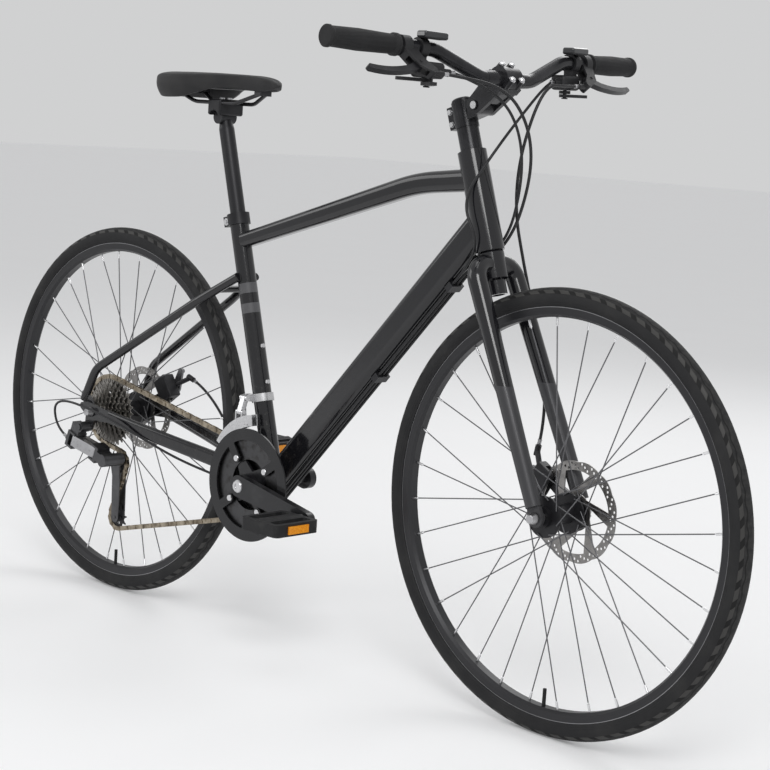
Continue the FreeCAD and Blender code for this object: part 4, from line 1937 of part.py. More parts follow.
def make_saddle_clamp():
    """Cradle on the post head with a bore for each rail and two bolts below."""
    base = 3
    top = size.rail_height + 6.5
    cradle = block("cradle_box", 34, 56, top - base, Placement(at_saddle(0, 0, (base + top) / 2), Rotation()))
    tools = [rod("cradle_hollow", at_saddle(0, -40, 0), at_saddle(0, 40, 0),
                 size.post_head_radius + size.running_gap)]
    for hand in (BIKE_RIGHT, BIKE_LEFT):
        tools.append(rod("rail_bore", at_saddle(-30, hand * size.rail_spread, size.rail_height),
                         at_saddle(30, hand * size.rail_spread, size.rail_height), "rail_radius+running_gap"))
    pieces = [cut("saddle_cradle", rounded("cradle_block", cradle, 4), *tools)]
    for ahead in (-10, 10):
        pieces.append(turned("cradle_bolt", [(0, 0), (0, 4.5), (2.5, 4.5), (3.5, 3.5), (3.5, 0)],
                             aim(at_saddle(ahead, 0, top + 0.02), UP)))
    node("saddle_clamp", group("saddle_clamp", pieces))


# Distance ahead, half width, top, depth of the channel and lower edge of the skirt at each section of the pad
SADDLE_STATIONS = ((136, 8, 67, 1, 56), (129, 15, 71.5, 2, 50), (115, 19, 74.5, 2.5, 48), (88, 21, 76, 3, 48),
                   (60, 25, 77, 3.5, 50), (30, 33, 77.5, 4, 51), (0, 45, 78, 4, 48), (-28, 58, 78, 4, 39),
                   (-52, 67, 78, 4, 32), (-78, 73, 77.5, 4, 30), (-102, 72, 77, 3.5, 30),
                   (-117, 64, 74, 3, 34), (-124, 50, 69, 2, 42))
BASE_PLAN = [(122, -9), (122, 9, 129, 0), (36, 22), (-60, 54, -10, 34), (-104, 56, -84, 62), (-104, -56),
             (-60, -54, -84, -62), (36, -22, -10, -34)]
HOLLOW_PLAN = [(124, -13), (124, 13, 130, 0), (80, 17), (36, 23.5), (-60, 55.5, -10, 35.5),
               (-106, 57.5, -84, 63.5), (-106, -57.5), (-60, -55.5, -84, -63.5), (36, -23.5, -10, -35.5),
               (80, -17)]


def make_saddle():
    """Pad lofted through arcs, hollow below and deep at the back, over a stiff base with two rails."""
    sections = []
    inside = size.saddle_base_height + size.saddle_base_thickness + size.running_gap
    for ahead, half, top, dip, foot in SADDLE_STATIONS:
        def spot(left, above):
            return at_saddle(ahead, left, above)
        shoulder = top - (top - foot) * 0.3
        hem = half * 0.92
        crest = half * 0.48
        corners = [(hem, foot), (half * 0.97, shoulder), (0, top - dip), (-half * 0.97, shoulder),
                   (-hem, foot)]
        vias = [(half, foot + (shoulder - foot) * 0.6), (crest, top), (-crest, top),
                (-half, foot + (shoulder - foot) * 0.6)]
        edges = [Part.Arc(spot(*first), spot(*via), spot(*last)).toShape()
                 for first, via, last in zip(corners, vias, corners[1:])]
        edges.append(Part.LineSegment(spot(*corners[-1]), spot(*corners[0])).toShape())
        sections.append(Part.Wire(edges))
    loaf = feature("saddle_loaf", Part.makeLoft(sections, True, False))
    hollow = padded("saddle_hollow", [HOLLOW_PLAN], inside, Placement(at_saddle(0, 0, 0), Rotation()))
    node("saddle_pad", cut("saddle_pad", loaf, hollow))
    shell = padded("saddle_base", [BASE_PLAN], "saddle_base_thickness",
                   Placement(at_saddle(0, 0, size.saddle_base_height), Rotation()))
    pieces = []
    parts = [shell]
    rails = []
    for hand in (BIKE_RIGHT, BIKE_LEFT):
        points = rail_route(hand)
        rails.append(feature("saddle_rail", pipe_shape(points, (40, 40), size.rail_radius)))
        for end, before in ((points[0], points[1]), (points[-1], points[-2])):
            inward = (before - end).normalize()
            parts.append(block("rail_socket", 16, 13, 10,
                               Placement(end + Vector(inward.x * 3, 0, 1), Rotation())))
    pieces.append(cut("saddle_shell", fuse("saddle_shell_solid", parts), *rails))
    node("saddle_rails", group("saddle_rails", pieces + rails))


make_seatpost()
make_saddle_clamp()
make_saddle()


# Brake and gear housings, each along its route from lever to stop
SHELL_BEND = 70


def lever_barrel_exit(side):
    """End of the barrel on the lever bracket and a point straight out from it."""
    end = side.at(LEVER_INBOARD + size.lever_inset + 20 + BARREL_LENGTH) + side.reach * HEEL_REACH
    return [end, end - side.outward * 26]


def shifter_barrel_exit(side):
    end = side.at(SHIFTER_INBOARD + size.shifter_length / 2 + 16, 6, -POD_BELOW)
    return [end, end - side.outward * 14]


def frame_route(upper, head_side, line, shell_corner, lower):
    """Route beside the head tube, straight through the guides under the down tube, then below the shell."""
    points = upper + [under_down_tube(CABLE_GUIDES[1] + 105, head_side, CABLE_DROP + 3),
                      under_down_tube(CABLE_GUIDES[1] + 40, line, CABLE_DROP),
                      under_down_tube(shell_corner, line, CABLE_DROP)] + lower
    bends = largest_bends(points)
    at_shell = len(upper) + 1
    bends[at_shell] = min(bends[at_shell], SHELL_BEND)
    return points, bends


def make_cables():
    right, left = BAR_SIDES
    gear_line, rear_gear_line, rear_brake_line = CABLE_LINES
    front_brake = lever_barrel_exit(left) + [
        Vector(388, 62, 992), Vector(360, 40, 830), Vector(380, 72, 680), Vector(415, 78, 585),
        FRONT_STOP + FRONT_PULL * 50, FRONT_STOP]
    front_gear = frame_route(
        shifter_barrel_exit(left) + [Vector(362, 44, 938), Vector(356, -14, 872), Vector(326, -37, 805)],
        -31, gear_line, -14, [Vector(-178, -10, 272), FRONT_MECH_STOP])
    rear_brake = frame_route(
        lever_barrel_exit(right) + [Vector(410, -46, 982), Vector(414, 10, 926), Vector(396, 45, 850)],
        45, rear_brake_line, -30, [Vector(-240, 52, 287), REAR_STOP + REAR_PULL * 60, REAR_STOP])
    rear_gear = frame_route(
        shifter_barrel_exit(right) + [Vector(396, -42, 970), Vector(400, 4, 920), Vector(386, 36, 846)],
        37, rear_gear_line, -30,
        [Vector(-190, -25, 271), Vector(-300, -47, 290), Vector(-380, -68, 317), Vector(-480, -91, 352),
         Vector(-622, -96, 366), MECH_CABLE_END - MECH_ALONG * 40, MECH_CABLE_END])
    housings = [feature("front_brake_housing", pipe_shape(front_brake, largest_bends(front_brake),
                                                          size.brake_cable_radius)),
                feature("front_gear_housing", pipe_shape(*front_gear, size.shift_cable_radius)),
                feature("rear_brake_housing", pipe_shape(*rear_brake, size.brake_cable_radius)),
                feature("rear_gear_housing", pipe_shape(*rear_gear, size.shift_cable_radius))]
    node("control_cables", group("control_cables", housings))


make_cables()

# Check every object, then write one file for each sub-part
doc.recompute()
for item in doc.Objects:
    if "Invalid" in item.State or "Error" in item.State:
        raise RuntimeError(f"{item.Label} failed: {item.State}")
for piece in nodes:
    if piece.Shape.isNull() or not piece.Shape.isValid():
        raise RuntimeError(f"{piece.Label} has no valid shape")
os.makedirs("parts", exist_ok=True)
for piece in nodes:
    piece.Shape.exportStep(os.path.join("parts", piece.Label + ".step"))
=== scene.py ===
import math

import bpy
import numpy as np
from mathutils import Matrix, Vector


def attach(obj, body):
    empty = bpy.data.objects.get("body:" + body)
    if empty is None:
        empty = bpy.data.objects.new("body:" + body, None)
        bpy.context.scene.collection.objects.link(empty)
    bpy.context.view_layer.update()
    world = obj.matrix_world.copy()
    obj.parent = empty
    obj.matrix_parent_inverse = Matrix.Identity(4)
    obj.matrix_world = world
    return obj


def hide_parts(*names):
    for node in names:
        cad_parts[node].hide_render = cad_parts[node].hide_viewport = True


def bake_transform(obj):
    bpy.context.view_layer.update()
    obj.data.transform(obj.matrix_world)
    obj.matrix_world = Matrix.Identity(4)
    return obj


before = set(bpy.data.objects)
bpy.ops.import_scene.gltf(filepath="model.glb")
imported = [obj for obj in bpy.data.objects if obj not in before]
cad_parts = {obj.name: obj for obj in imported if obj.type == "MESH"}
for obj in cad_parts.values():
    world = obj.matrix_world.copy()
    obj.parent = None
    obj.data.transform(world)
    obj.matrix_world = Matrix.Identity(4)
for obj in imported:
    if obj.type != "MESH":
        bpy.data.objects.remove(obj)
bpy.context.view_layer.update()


# Frame tubes.
# Welded aluminium tubes sprayed gloss black under a clear coat, with two satin grey bands round the seat
# tube. Road dust settles on the lower half.
class Field:
    """A socket that varies over a surface. Sums and products of fields add the Math nodes that work
    them out."""

    def __init__(self, tree, socket):
        self.tree = tree
        self.socket = socket

    def node(self, kind, inputs, output=0, **settings):
        """One shader node: its settings first, then a value or a link for each of its sockets."""
        made = self.tree.nodes.new("ShaderNode" + kind)
        for name, setting in settings.items():
            setattr(made, name, setting)
        for name, given in inputs.items():
            if isinstance(given, Field):
                self.tree.links.new(given.socket, made.inputs[name])
            else:
                made.inputs[name].default_value = given
        return Field(self.tree, made.outputs[output])

    def maths(self, operation, *operands):
        """A Math node on these operands."""
        return self.node("Math", dict(enumerate(operands)), operation=operation)

    def __add__(self, other):
        return self.maths("ADD", self, other)

    def __radd__(self, other):
        return self.maths("ADD", other, self)

    def __sub__(self, other):
        return self.maths("SUBTRACT", self, other)

    def __rsub__(self, other):
        return self.maths("SUBTRACT", other, self)

    def __mul__(self, other):
        return self.maths("MULTIPLY", self, other)

    def __rmul__(self, other):
        return self.maths("MULTIPLY", other, self)

    def __or__(self, other):
        return self.maths("MAXIMUM", self, other)

    def __ror__(self, other):
        return self.maths("MAXIMUM", other, self)

    def __abs__(self):
        return self.maths("ABSOLUTE", self)

    def axes(self):
        """The three components of a vector field."""
        split = self.node("SeparateXYZ", {0: self})
        return [Field(self.tree, socket) for socket in split.socket.node.outputs]

    def grain(self, scale, detail=2.0, stretch=(1.0, 1.0, 1.0)):
        """Noise from 0 to 1, about scale lumps to the metre, drawn out along an axis whose stretch is
        under 1."""
        spread = self.node("VectorMath", {0: self, 1: stretch}, operation="MULTIPLY")
        return self.node("TexNoise", {"Vector": spread, "Scale": scale, "Detail": detail})

    def ramp(self, low, high):
        """A smooth step: 0 where the field is at low, 1 where it is at high."""
        return self.node("MapRange", {"Value": self, "From Min": low, "From Max": high},
                         interpolation_type="SMOOTHSTEP")

    def between(self, low, high, soft):
        """1 from low to high, with edges that fade out over soft."""
        return self.ramp(low - soft, low) * self.ramp(high + soft, high)

    def near(self, spot, radius, soft=0.0002):
        """1 inside a ball of this radius round a spot, fading out over soft."""
        distance = self.node("VectorMath", {0: self, 1: spot}, output="Value", operation="DISTANCE")
        return distance.ramp(radius + soft, radius)

    def out_from(self, axis_x, axis_z):
        """Distance from a crosswise axis at this place ahead and above."""
        x, y, z = self.axes()
        ahead = x - axis_x
        above = z - axis_z
        return above.maths("SQRT", ahead * ahead + above * above)

    def round_from(self, axis_x, axis_z):
        """Angle round a crosswise axis at this place ahead and above."""
        x, y, z = self.axes()
        above = z - axis_z
        return above.maths("ARCTAN2", above, x - axis_x)

    def tint(self, first, second):
        """The first colour where the field is 0, the second where it is 1. Sockets 6 and 7 of a Mix node
        take its colours."""
        colours = {key: colour if isinstance(colour, Field) else (*colour, 1.0)
                   for key, colour in ((6, first), (7, second))}
        return self.node("Mix", {0: self, **colours}, output=2, data_type="RGBA")

    def raised(self, height, strength=1.0):
        """A bump that stands this many metres proud where the field is 1."""
        return self.node("Bump", {"Strength": strength, "Distance": height, "Height": self}, output="Normal")


def finish(name, **constants):
    """A new finish on the principled shader with these constant sockets, and the place on the surface
    to paint by."""
    material = bpy.data.materials.new(name)
    material.use_nodes = True
    shader = material.node_tree.nodes["Principled BSDF"]
    for socket, constant in constants.items():
        shader.inputs[socket.replace("_", " ").title().replace("Ior", "IOR")].default_value = constant
    place = material.node_tree.nodes.new("ShaderNodeTexCoord").outputs["Object"]
    return material, Field(material.node_tree, place)


def lay(material, colour, roughness, bump, **others):
    """Joins the fields of a finish to its shader."""
    shader = material.node_tree.nodes["Principled BSDF"]
    fields = {"Base Color": colour, "Roughness": roughness, "Normal": bump}
    fields.update({name.replace("_", " ").title(): field for name, field in others.items()})
    for socket, field in fields.items():
        material.node_tree.links.new(field.socket, shader.inputs[socket])


def dress(material, *names):
    """Puts a finish on each of these solids."""
    for name in names:
        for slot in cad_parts[name].material_slots:
            slot.material = material


PAINT_DEEP = (0.0065, 0.0065, 0.008)
PAINT_LIGHT = (0.012, 0.012, 0.014)
ROAD_DUST = (0.07, 0.066, 0.06)
BAND_GREY = (0.085, 0.085, 0.09)
SHELL_CENTRE = (-0.10105, 0.283)
SEAT_LEAN = (-0.27564, 0.96126)
LOW_BAND = (0.2995, 0.3165)
HIGH_BAND = (0.335, 0.3525)
BAND_EDGE = 0.0004


def frame_paint(name, banded):
    """Gloss black: cloudy depth, a faint orange peel and dust low down, with the grey bands where asked."""
    material, place = finish(name, specular_ior_level=0.4, coat_weight=0.3, coat_roughness=0.03)
    x, y, z = place.axes()
    dust = place.grain(140, 6).ramp(0.52, 0.78) * z.ramp(0.62, 0.28)
    paint = place.grain(9, 3).tint(PAINT_DEEP, PAINT_LIGHT)
    roughness = 0.1 + 0.08 * place.grain(55, 4) + 0.3 * dust
    if banded:
        along = (x - SHELL_CENTRE[0]) * SEAT_LEAN[0] + (z - SHELL_CENTRE[1]) * SEAT_LEAN[1]
        band = along.between(*LOW_BAND, BAND_EDGE) | along.between(*HIGH_BAND, BAND_EDGE)
        paint = band.tint(paint, BAND_GREY)
        roughness = roughness + 0.3 * band
    lay(material, (0.35 * dust).tint(paint, ROAD_DUST), roughness,
        place.grain(620, 1).raised(0.00006, 0.35))
    return material


dress(frame_paint("gloss_black_paint", False),
      "head_tube", "top_tube", "down_tube", "seatstays", "chainstays", "dropouts")
dress(frame_paint("banded_black_paint", True), "seat_tube")


# Frame bearings, bottle screws, cable guides and seat collar.
# Turned and moulded small parts in black anodised alloy, held by bright steel screws.
BLACK_ALLOY_DEEP = (0.014, 0.014, 0.016)
BLACK_ALLOY_LIGHT = (0.03, 0.03, 0.033)
BRIGHT_STEEL = (0.62, 0.62, 0.63)


def black_alloy(name, gloss, screws=(), screw_radius=0.006):
    """Anodised alloy: bead-blasted grain, faint handling marks, and bright steel on each screw."""
    material, place = finish(name, specular_ior_level=0.35)
    marks = place.grain(30, 5).ramp(0.35, 0.75)
    colour = marks.tint(BLACK_ALLOY_DEEP, BLACK_ALLOY_LIGHT)
    roughness = gloss + 0.14 * place.grain(75, 4)
    metal = 0.25 + 0.1 * marks
    if screws:
        bright = place.near(screws[0], screw_radius)
        for spot in screws[1:]:
            bright = bright | place.near(spot, screw_radius)
        colour = bright.tint(colour, BRIGHT_STEEL)
        roughness = roughness - 0.1 * bright
        metal = metal | bright
    lay(material, colour, roughness, place.grain(1500, 2).raised(0.00005, 0.3), metallic=metal)
    return material


COLLAR_SCREWS = ((-0.2521, -0.0115, 0.7265), (-0.2521, 0.0115, 0.7265))
BOTTLE_SCREWS = ((-0.1314, 0.0, 0.4564), (-0.149, 0.0, 0.5179),
                 (0.0376, 0.0, 0.4721), (0.0804, 0.0, 0.5197))
dress(black_alloy("bearing_black", 0.3), "frame_bearings")
dress(black_alloy("fitting_black", 0.34, COLLAR_SCREWS + BOTTLE_SCREWS, 0.0066), "frame_fittings")


# Fork.
# Aluminium legs and crown, gloss black at the top. Below a masked edge the legs are satin graphite.
GRAPHITE_DEEP = (0.045, 0.045, 0.048)
GRAPHITE_LIGHT = (0.06, 0.06, 0.064)
MASK_HEIGHT = 0.536
MASK_EDGE = 0.0005


def fork_paint():
    """Gloss black above the masked edge, fine metal flake in a satin coat below it, and dust by the axle."""
    material, place = finish("two_tone_fork_paint", specular_ior_level=0.4, coat_roughness=0.05)
    x, y, z = place.axes()
    satin = z.ramp(MASK_HEIGHT + MASK_EDGE, MASK_HEIGHT - MASK_EDGE)
    gloss = place.grain(9, 3).tint(PAINT_DEEP, PAINT_LIGHT)
    flakes = place.grain(2600, 1).tint(GRAPHITE_DEEP, GRAPHITE_LIGHT)
    paint = satin.tint(gloss, flakes)
    dust = place.grain(150, 6).ramp(0.52, 0.8) * z.ramp(0.52, 0.36)
    roughness = 0.1 + 0.08 * place.grain(60, 4) + 0.24 * satin + 0.2 * dust
    lay(material, (0.3 * dust).tint(paint, ROAD_DUST), roughness,
        place.grain(620, 1).raised(0.00006, 0.35),
        coat_weight=0.3 - 0.2 * satin, metallic=0.35 * satin)
    return material


dress(fork_paint(), "fork")


# Wheels.
# Black box rims laced with plain steel spokes and bright nipples to black hubs, under slick tyres whose
# shoulders carry small tread blocks. Axles are steel and the cam levers are satin alloy.
FRONT_AXLE_X = 0.5345
REAR_AXLE_X = -0.5345
AXLE_Z = 0.346
TYRE_DEEP = (0.017, 0.017, 0.018)
# This worn colour also serves as the painted highlight on the tread blocks.
TYRE_WORN_AND_HIGHLIT = (0.05, 0.049, 0.047)
TYRE_SHADE = (0.006, 0.006, 0.006)
TREAD_BLOCKS = 72
BLOCK_SLANT = 420
BLOCK_BAND = (0.0116, 0.0153)
GROOVE_BAND = (0.0072, 0.0085)
GROOVE_WANDER = 0.001
INNER_RING = (0.3205, 0.3211)
OUTER_RING = (0.3238, 0.3242)
MOULD_EDGE = 0.0003
TREAD_DEPTH = 0.0011


def tyre_rubber(name, axle_x):
    """Rubber: slanted blocks round each shoulder, a wandering groove inside them and moulded rings by the
    rim. The blocks and the groove follow waves of the angle round the axle. The blocks' faces are lightened
    with a painted highlight, and the grooves and the gaps between the blocks are darkened with painted shade."""
    material, place = finish(name, specular_ior_level=0.25)
    radius = place.out_from(axle_x, AXLE_Z)
    angle = place.round_from(axle_x, AXLE_Z)
    x, left, z = place.axes()
    side = abs(left)
    shoulder = side.between(*BLOCK_BAND, 0.0004) * radius.ramp(0.33, 0.333)
    blocks = shoulder * angle.maths("SINE", angle * TREAD_BLOCKS + side * BLOCK_SLANT).ramp(-0.45, -0.2)
    wander = GROOVE_WANDER * angle.maths("SINE", angle * TREAD_BLOCKS)
    grooves = (side + wander).between(*GROOVE_BAND, MOULD_EDGE) * radius.ramp(0.336, 0.338)
    rings = radius.between(*INNER_RING, MOULD_EDGE) | radius.between(*OUTER_RING, MOULD_EDGE)
    worn = radius.ramp(0.337, 0.3445) * place.grain(120, 5).ramp(0.3, 0.7)
    dusty = place.grain(18, 6).ramp(0.4, 0.8)
    # Wear at the crown and dust lighten the rubber for real; the blocks' faces are lightened as a painted
    # highlight.
    colour = (0.55 * worn | 0.3 * dusty | 0.85 * blocks).tint(TYRE_DEEP, TYRE_WORN_AND_HIGHLIT)
    # Painted shade: the gaps between the blocks and the grooves are darkened.
    dark = shoulder - blocks | grooves
    relief = blocks + 0.4 * rings - grooves + 0.05 * place.grain(900, 3)
    lay(material, (0.75 * dark).tint(colour, TYRE_SHADE), 0.62 + 0.2 * place.grain(90, 4) - 0.22 * blocks,
        relief.raised(TREAD_DEPTH, 0.9))
    return material


# The rim's painted highlight starts at this radius.
RIM_EDGE = 0.3156
RIM_PAINTED_HIGHLIGHT = (0.3, 0.3, 0.31)


def rim_alloy(name, axle_x):
    """Anodised rim: brushed round the hoop, with a thin painted highlight along the flange's edge."""
    material, place = finish(name)
    radius = place.out_from(axle_x, AXLE_Z)
    angle = place.round_from(axle_x, AXLE_Z)
    x, left, z = place.axes()
    lines = place.node("CombineXYZ", {0: radius * 900, 1: angle * 2.0, 2: left * 900}).grain(1.0, 3)
    # A painted highlight: a thin band at the flange's edge, lighter and more metallic.
    edge = radius.ramp(RIM_EDGE, RIM_EDGE + 0.0006)
    colour = edge.tint(lines.tint(BLACK_ALLOY_DEEP, BLACK_ALLOY_LIGHT), RIM_PAINTED_HIGHLIGHT)
    lay(material, colour, 0.3 + 0.16 * lines, lines.raised(0.00004, 0.3), metallic=0.35 | 0.8 * edge)
    return material


SPOKE_DULL = (0.12, 0.12, 0.126)
SPOKE_GREY = (0.17, 0.17, 0.178)
NIPPLE_BRIGHT = (0.78, 0.78, 0.79)
NIPPLE_FOOT = 0.2872


def spoke_steel(name, axle_x):
    """Drawn steel: patchy grey along each spoke, with bright nipples at the rim."""
    material, place = finish(name)
    nipple = place.out_from(axle_x, AXLE_Z).ramp(NIPPLE_FOOT - 0.0003, NIPPLE_FOOT)
    colour = nipple.tint(place.grain(160, 4).tint(SPOKE_DULL, SPOKE_GREY), NIPPLE_BRIGHT)
    lay(material, colour, 0.33 - 0.1 * nipple + 0.12 * place.grain(300, 3),
        place.grain(1200, 1).raised(0.00003, 0.25), metallic=0.85 + 0.15 * nipple)
    return material


OIL_FILM = (0.05, 0.045, 0.04)


def turned_steel(name, axle_x, dark, light):
    """Steel faced on a lathe: rings of fine lines about the axle, with a film of oil in patches."""
    material, place = finish(name)
    x, left, z = place.axes()
    radius = place.out_from(axle_x, AXLE_Z)
    lines = place.node("CombineXYZ", {0: radius * 2200, 1: left * 300, 2: 0.0}).grain(1.0, 2)
    oil = place.grain(70, 5).ramp(0.45, 0.75)
    lay(material, (0.35 * oil).tint(lines.tint(dark, light), OIL_FILM), 0.24 + 0.16 * lines + 0.12 * oil,
        lines.raised(0.00003, 0.35), metallic=1.0 - 0.3 * oil)
    return material


ROTOR_DARK = (0.2, 0.193, 0.188)
ROTOR_LIGHT = (0.4, 0.39, 0.38)
AXLE_DARK = (0.3, 0.3, 0.31)
AXLE_LIGHT = (0.6, 0.6, 0.61)
for end, axle_x in (("front", FRONT_AXLE_X), ("rear", REAR_AXLE_X)):
    dress(tyre_rubber(end + "_tyre_rubber", axle_x), end + "_tyre")
    dress(rim_alloy(end + "_rim_black", axle_x), end + "_rim")
    dress(spoke_steel(end + "_spoke_steel", axle_x), end + "_spokes")
    dress(turned_steel(end + "_rotor_steel", axle_x, ROTOR_DARK, ROTOR_LIGHT), end + "_rotor")
    dress(turned_steel(end + "_axle_steel", axle_x, AXLE_DARK, AXLE_LIGHT), end + "_axle")
dress(black_alloy("hub_black", 0.26), "front_hub", "rear_hub")


# Brakes.
# Cable calipers in black cast alloy with steel pads and screws. A grey alloy arm pulls each pad.
GREY_ALLOY_DEEP = (0.11, 0.11, 0.115)
GREY_ALLOY_LIGHT = (0.3, 0.3, 0.31)
GRIME = (0.02, 0.019, 0.018)


def grey_alloy(name, deep, light, gloss):
    """Forged alloy: soft mottling, polish on the high spots and grime in the pores."""
    material, place = finish(name)
    mottle = place.grain(45, 5)
    grime = place.grain(210, 5).ramp(0.55, 0.8)
    lay(material, (0.5 * grime).tint(mottle.tint(deep, light), GRIME), gloss + 0.18 * mottle + 0.15 * grime,
        place.grain(1300, 2).raised(0.00005, 0.35), metallic=0.9 - 0.4 * grime)
    return material


FRONT_CALIPER_SCREW = (0.4808, 0.0587, 0.377)
REAR_CALIPER_SCREW = (-0.4843, 0.0752, 0.3824)
dress(black_alloy("caliper_black", 0.36, (FRONT_CALIPER_SCREW, REAR_CALIPER_SCREW), 0.0064),
      "front_caliper", "rear_caliper")
dress(grey_alloy("arm_alloy", GREY_ALLOY_DEEP, GREY_ALLOY_LIGHT, 0.3),
      "front_caliper_arm", "rear_caliper_arm", "front_quick_release", "rear_quick_release")


# Cranks, chainrings and pedals.
# Forged black cranks with a bright bolt on the spindle, steel rings behind a black guard, and moulded
# pedals that carry an amber reflector front and back.
PEDALS = {"right": (0.066614, 0.254942), "left": (-0.268723, 0.311058)}
CRANK_SCUFF = (0.06, 0.06, 0.062)
CRANK_FACE = 0.0846
SPINDLE_BOLT = 0.0111
PEDAL_AXLE = 0.0062
TURNED_EDGE = 0.0002


def crank_finish():
    """Forged black with scuffs, bright where the spindle's bolts and the pedals' axles show."""
    material, place = finish("crank_black", specular_ior_level=0.35, coat_weight=0.3, coat_roughness=0.08)
    x, left, z = place.axes()
    bolt = place.out_from(*SHELL_CENTRE).ramp(SPINDLE_BOLT + TURNED_EDGE, SPINDLE_BOLT)
    bright = bolt * abs(left).ramp(CRANK_FACE, CRANK_FACE + TURNED_EDGE)
    for foot in PEDALS.values():
        bright = bright | place.out_from(*foot).ramp(PEDAL_AXLE + TURNED_EDGE, PEDAL_AXLE)
    scuff = place.grain(26, 6).ramp(0.5, 0.85)
    lay(material, bright.tint((0.5 * scuff).tint(BLACK_ALLOY_DEEP, CRANK_SCUFF), BRIGHT_STEEL),
        0.3 + 0.14 * place.grain(80, 4) - 0.08 * bright, place.grain(1400, 2).raised(0.00004, 0.3),
        metallic=0.3 | bright)
    return material


RING_DARK = (0.035, 0.035, 0.037)
RING_LIGHT = (0.12, 0.12, 0.123)
RING_OIL = (0.03, 0.027, 0.024)
GUARD_DEEP = (0.008, 0.008, 0.009)
GUARD_LIGHT = (0.02, 0.02, 0.022)
GUARD_FACE = -0.0617
BOLT_FACE = -0.0652
FACE_EDGE = 0.0001


def ring_finish():
    """Dark oiled steel rings, lined by the lathe. Further out lies the gloss black guard, and outermost
    the bright heads of its bolts."""
    material, place = finish("ring_steel_and_guard", specular_ior_level=0.4)
    x, left, z = place.axes()
    guard = left.ramp(GUARD_FACE + FACE_EDGE, GUARD_FACE - FACE_EDGE)
    heads = left.ramp(BOLT_FACE + FACE_EDGE / 2, BOLT_FACE - FACE_EDGE / 2)
    radius = place.out_from(*SHELL_CENTRE)
    lines = place.node("CombineXYZ", {0: radius * 1800, 1: 0.0, 2: 0.0}).grain(1.0, 2)
    oil = place.grain(95, 5).ramp(0.45, 0.75)
    worn = (0.6 * oil).tint(lines.tint(RING_DARK, RING_LIGHT), RING_OIL)
    black = place.grain(30, 4).tint(GUARD_DEEP, GUARD_LIGHT)
    lay(material, heads.tint(guard.tint(worn, black), BRIGHT_STEEL), 0.3 + 0.12 * lines - 0.2 * guard,
        lines.raised(0.00003, 0.3), metallic=(1 - 0.85 * guard) | heads)
    return material


PEDAL_BLACK = (0.014, 0.014, 0.015)
PEDAL_SCUFF = (0.055, 0.054, 0.052)
AMBER = (0.75, 0.2, 0.008)
AMBER_LIGHT = (0.95, 0.42, 0.03)
REFLECTOR_FACE = 0.0441


def pedal_finish(name, centre_x):
    """Moulded plastic with a fine spark texture. The reflectors at front and back are amber with prism
    cells."""
    material, place = finish(name, specular_ior_level=0.3)
    x, y, z = place.axes()
    amber = abs(x - centre_x).ramp(REFLECTOR_FACE - FACE_EDGE, REFLECTOR_FACE + FACE_EDGE)
    cells = place.node("TexVoronoi", {"Vector": place, "Scale": 420.0}, output="Distance")
    scuff = place.grain(60, 6).ramp(0.5, 0.8)
    plastic = (0.5 * scuff).tint(PEDAL_BLACK, PEDAL_SCUFF)
    lay(material, amber.tint(plastic, cells.tint(AMBER, AMBER_LIGHT)),
        0.52 + 0.16 * place.grain(90, 3) - 0.42 * amber,
        (place.grain(1700, 2) * (1 - amber) + cells * amber).raised(0.0002, 0.5))
    return material


dress(crank_finish(), "crank_arms")
dress(ring_finish(), "chainrings")
for hand, (centre_x, centre_z) in PEDALS.items():
    dress(pedal_finish("pedal_plastic_" + hand, centre_x), "pedal_" + hand)


# Cassette and the two gear mechanisms.
# Turned steel cogs. The mechanisms are forged links in grey and black alloy with plastic pulleys, and the
# front cage is pressed bright steel.
CONTROL_BLACK = (0.017, 0.017, 0.0185)


def moulded_plastic(name, tone, gloss):
    """Moulded plastic: spark-eroded grain with a faint flow mottle."""
    material, place = finish(name, specular_ior_level=0.3)
    mottle = place.grain(38, 4)
    colour = mottle.tint(tuple(0.75 * c for c in tone), tuple(1.3 * c for c in tone))
    lay(material, colour, gloss + 0.12 * place.grain(120, 3), place.grain(1900, 2).raised(0.00008, 0.4))
    return material


COG_DARK = (0.17, 0.16, 0.15)
COG_LIGHT = (0.38, 0.365, 0.34)
LINK_DEEP = (0.28, 0.28, 0.29)
LINK_LIGHT = (0.55, 0.55, 0.56)
MECH_DEEP = (0.05, 0.05, 0.053)
MECH_LIGHT = (0.14, 0.14, 0.145)
PRESSED_DEEP = (0.45, 0.45, 0.46)
PRESSED_LIGHT = (0.72, 0.72, 0.73)
dress(turned_steel("cog_steel", REAR_AXLE_X, COG_DARK, COG_LIGHT), "cassette")
dress(grey_alloy("link_alloy", LINK_DEEP, LINK_LIGHT, 0.24), "outer_link", "inner_link")
dress(grey_alloy("mech_alloy", MECH_DEEP, MECH_LIGHT, 0.28), "rear_mech_base", "knuckle", "cage")
dress(grey_alloy("front_mech_steel", PRESSED_DEEP, PRESSED_LIGHT, 0.16),
      "front_mech_body", "front_mech_link", "front_mech_cage")
dress(moulded_plastic("pulley_plastic", CONTROL_BLACK, 0.5), "guide_pulley", "tension_pulley")


# Chain.
# Whole links of oiled steel, shared out in five lengths by what carries them: the rings and cogs, the
# cage's two pulleys, and the runs to and from these.
CHAIN_NICKEL = (0.4, 0.35, 0.275)
CHAIN_BROWN = (0.15, 0.12, 0.085)
CHAIN_GRIT = (0.03, 0.026, 0.022)
FORE_RUN = np.array([(-0.0871, -0.0425, 0.2280), (-0.3301, -0.0340, 0.1663)])
AFT_RUN = np.array([(-0.3301, -0.0340, 0.1663), (-0.4921, -0.0284, 0.1252)])
CAGE_RUN = np.array([(-0.5182, -0.0284, 0.1563), (-0.4795, -0.0284, 0.2417)])
RISING_RUN = np.array([(-0.4960, -0.0284, 0.2732), (-0.5461, -0.0284, 0.2823)])
PULLEY_CENTRES = np.array([(-0.4976, 0.1470), (-0.5000, 0.2510)])
PULLEY_REACH = 0.027
RUN_REACH = 0.006


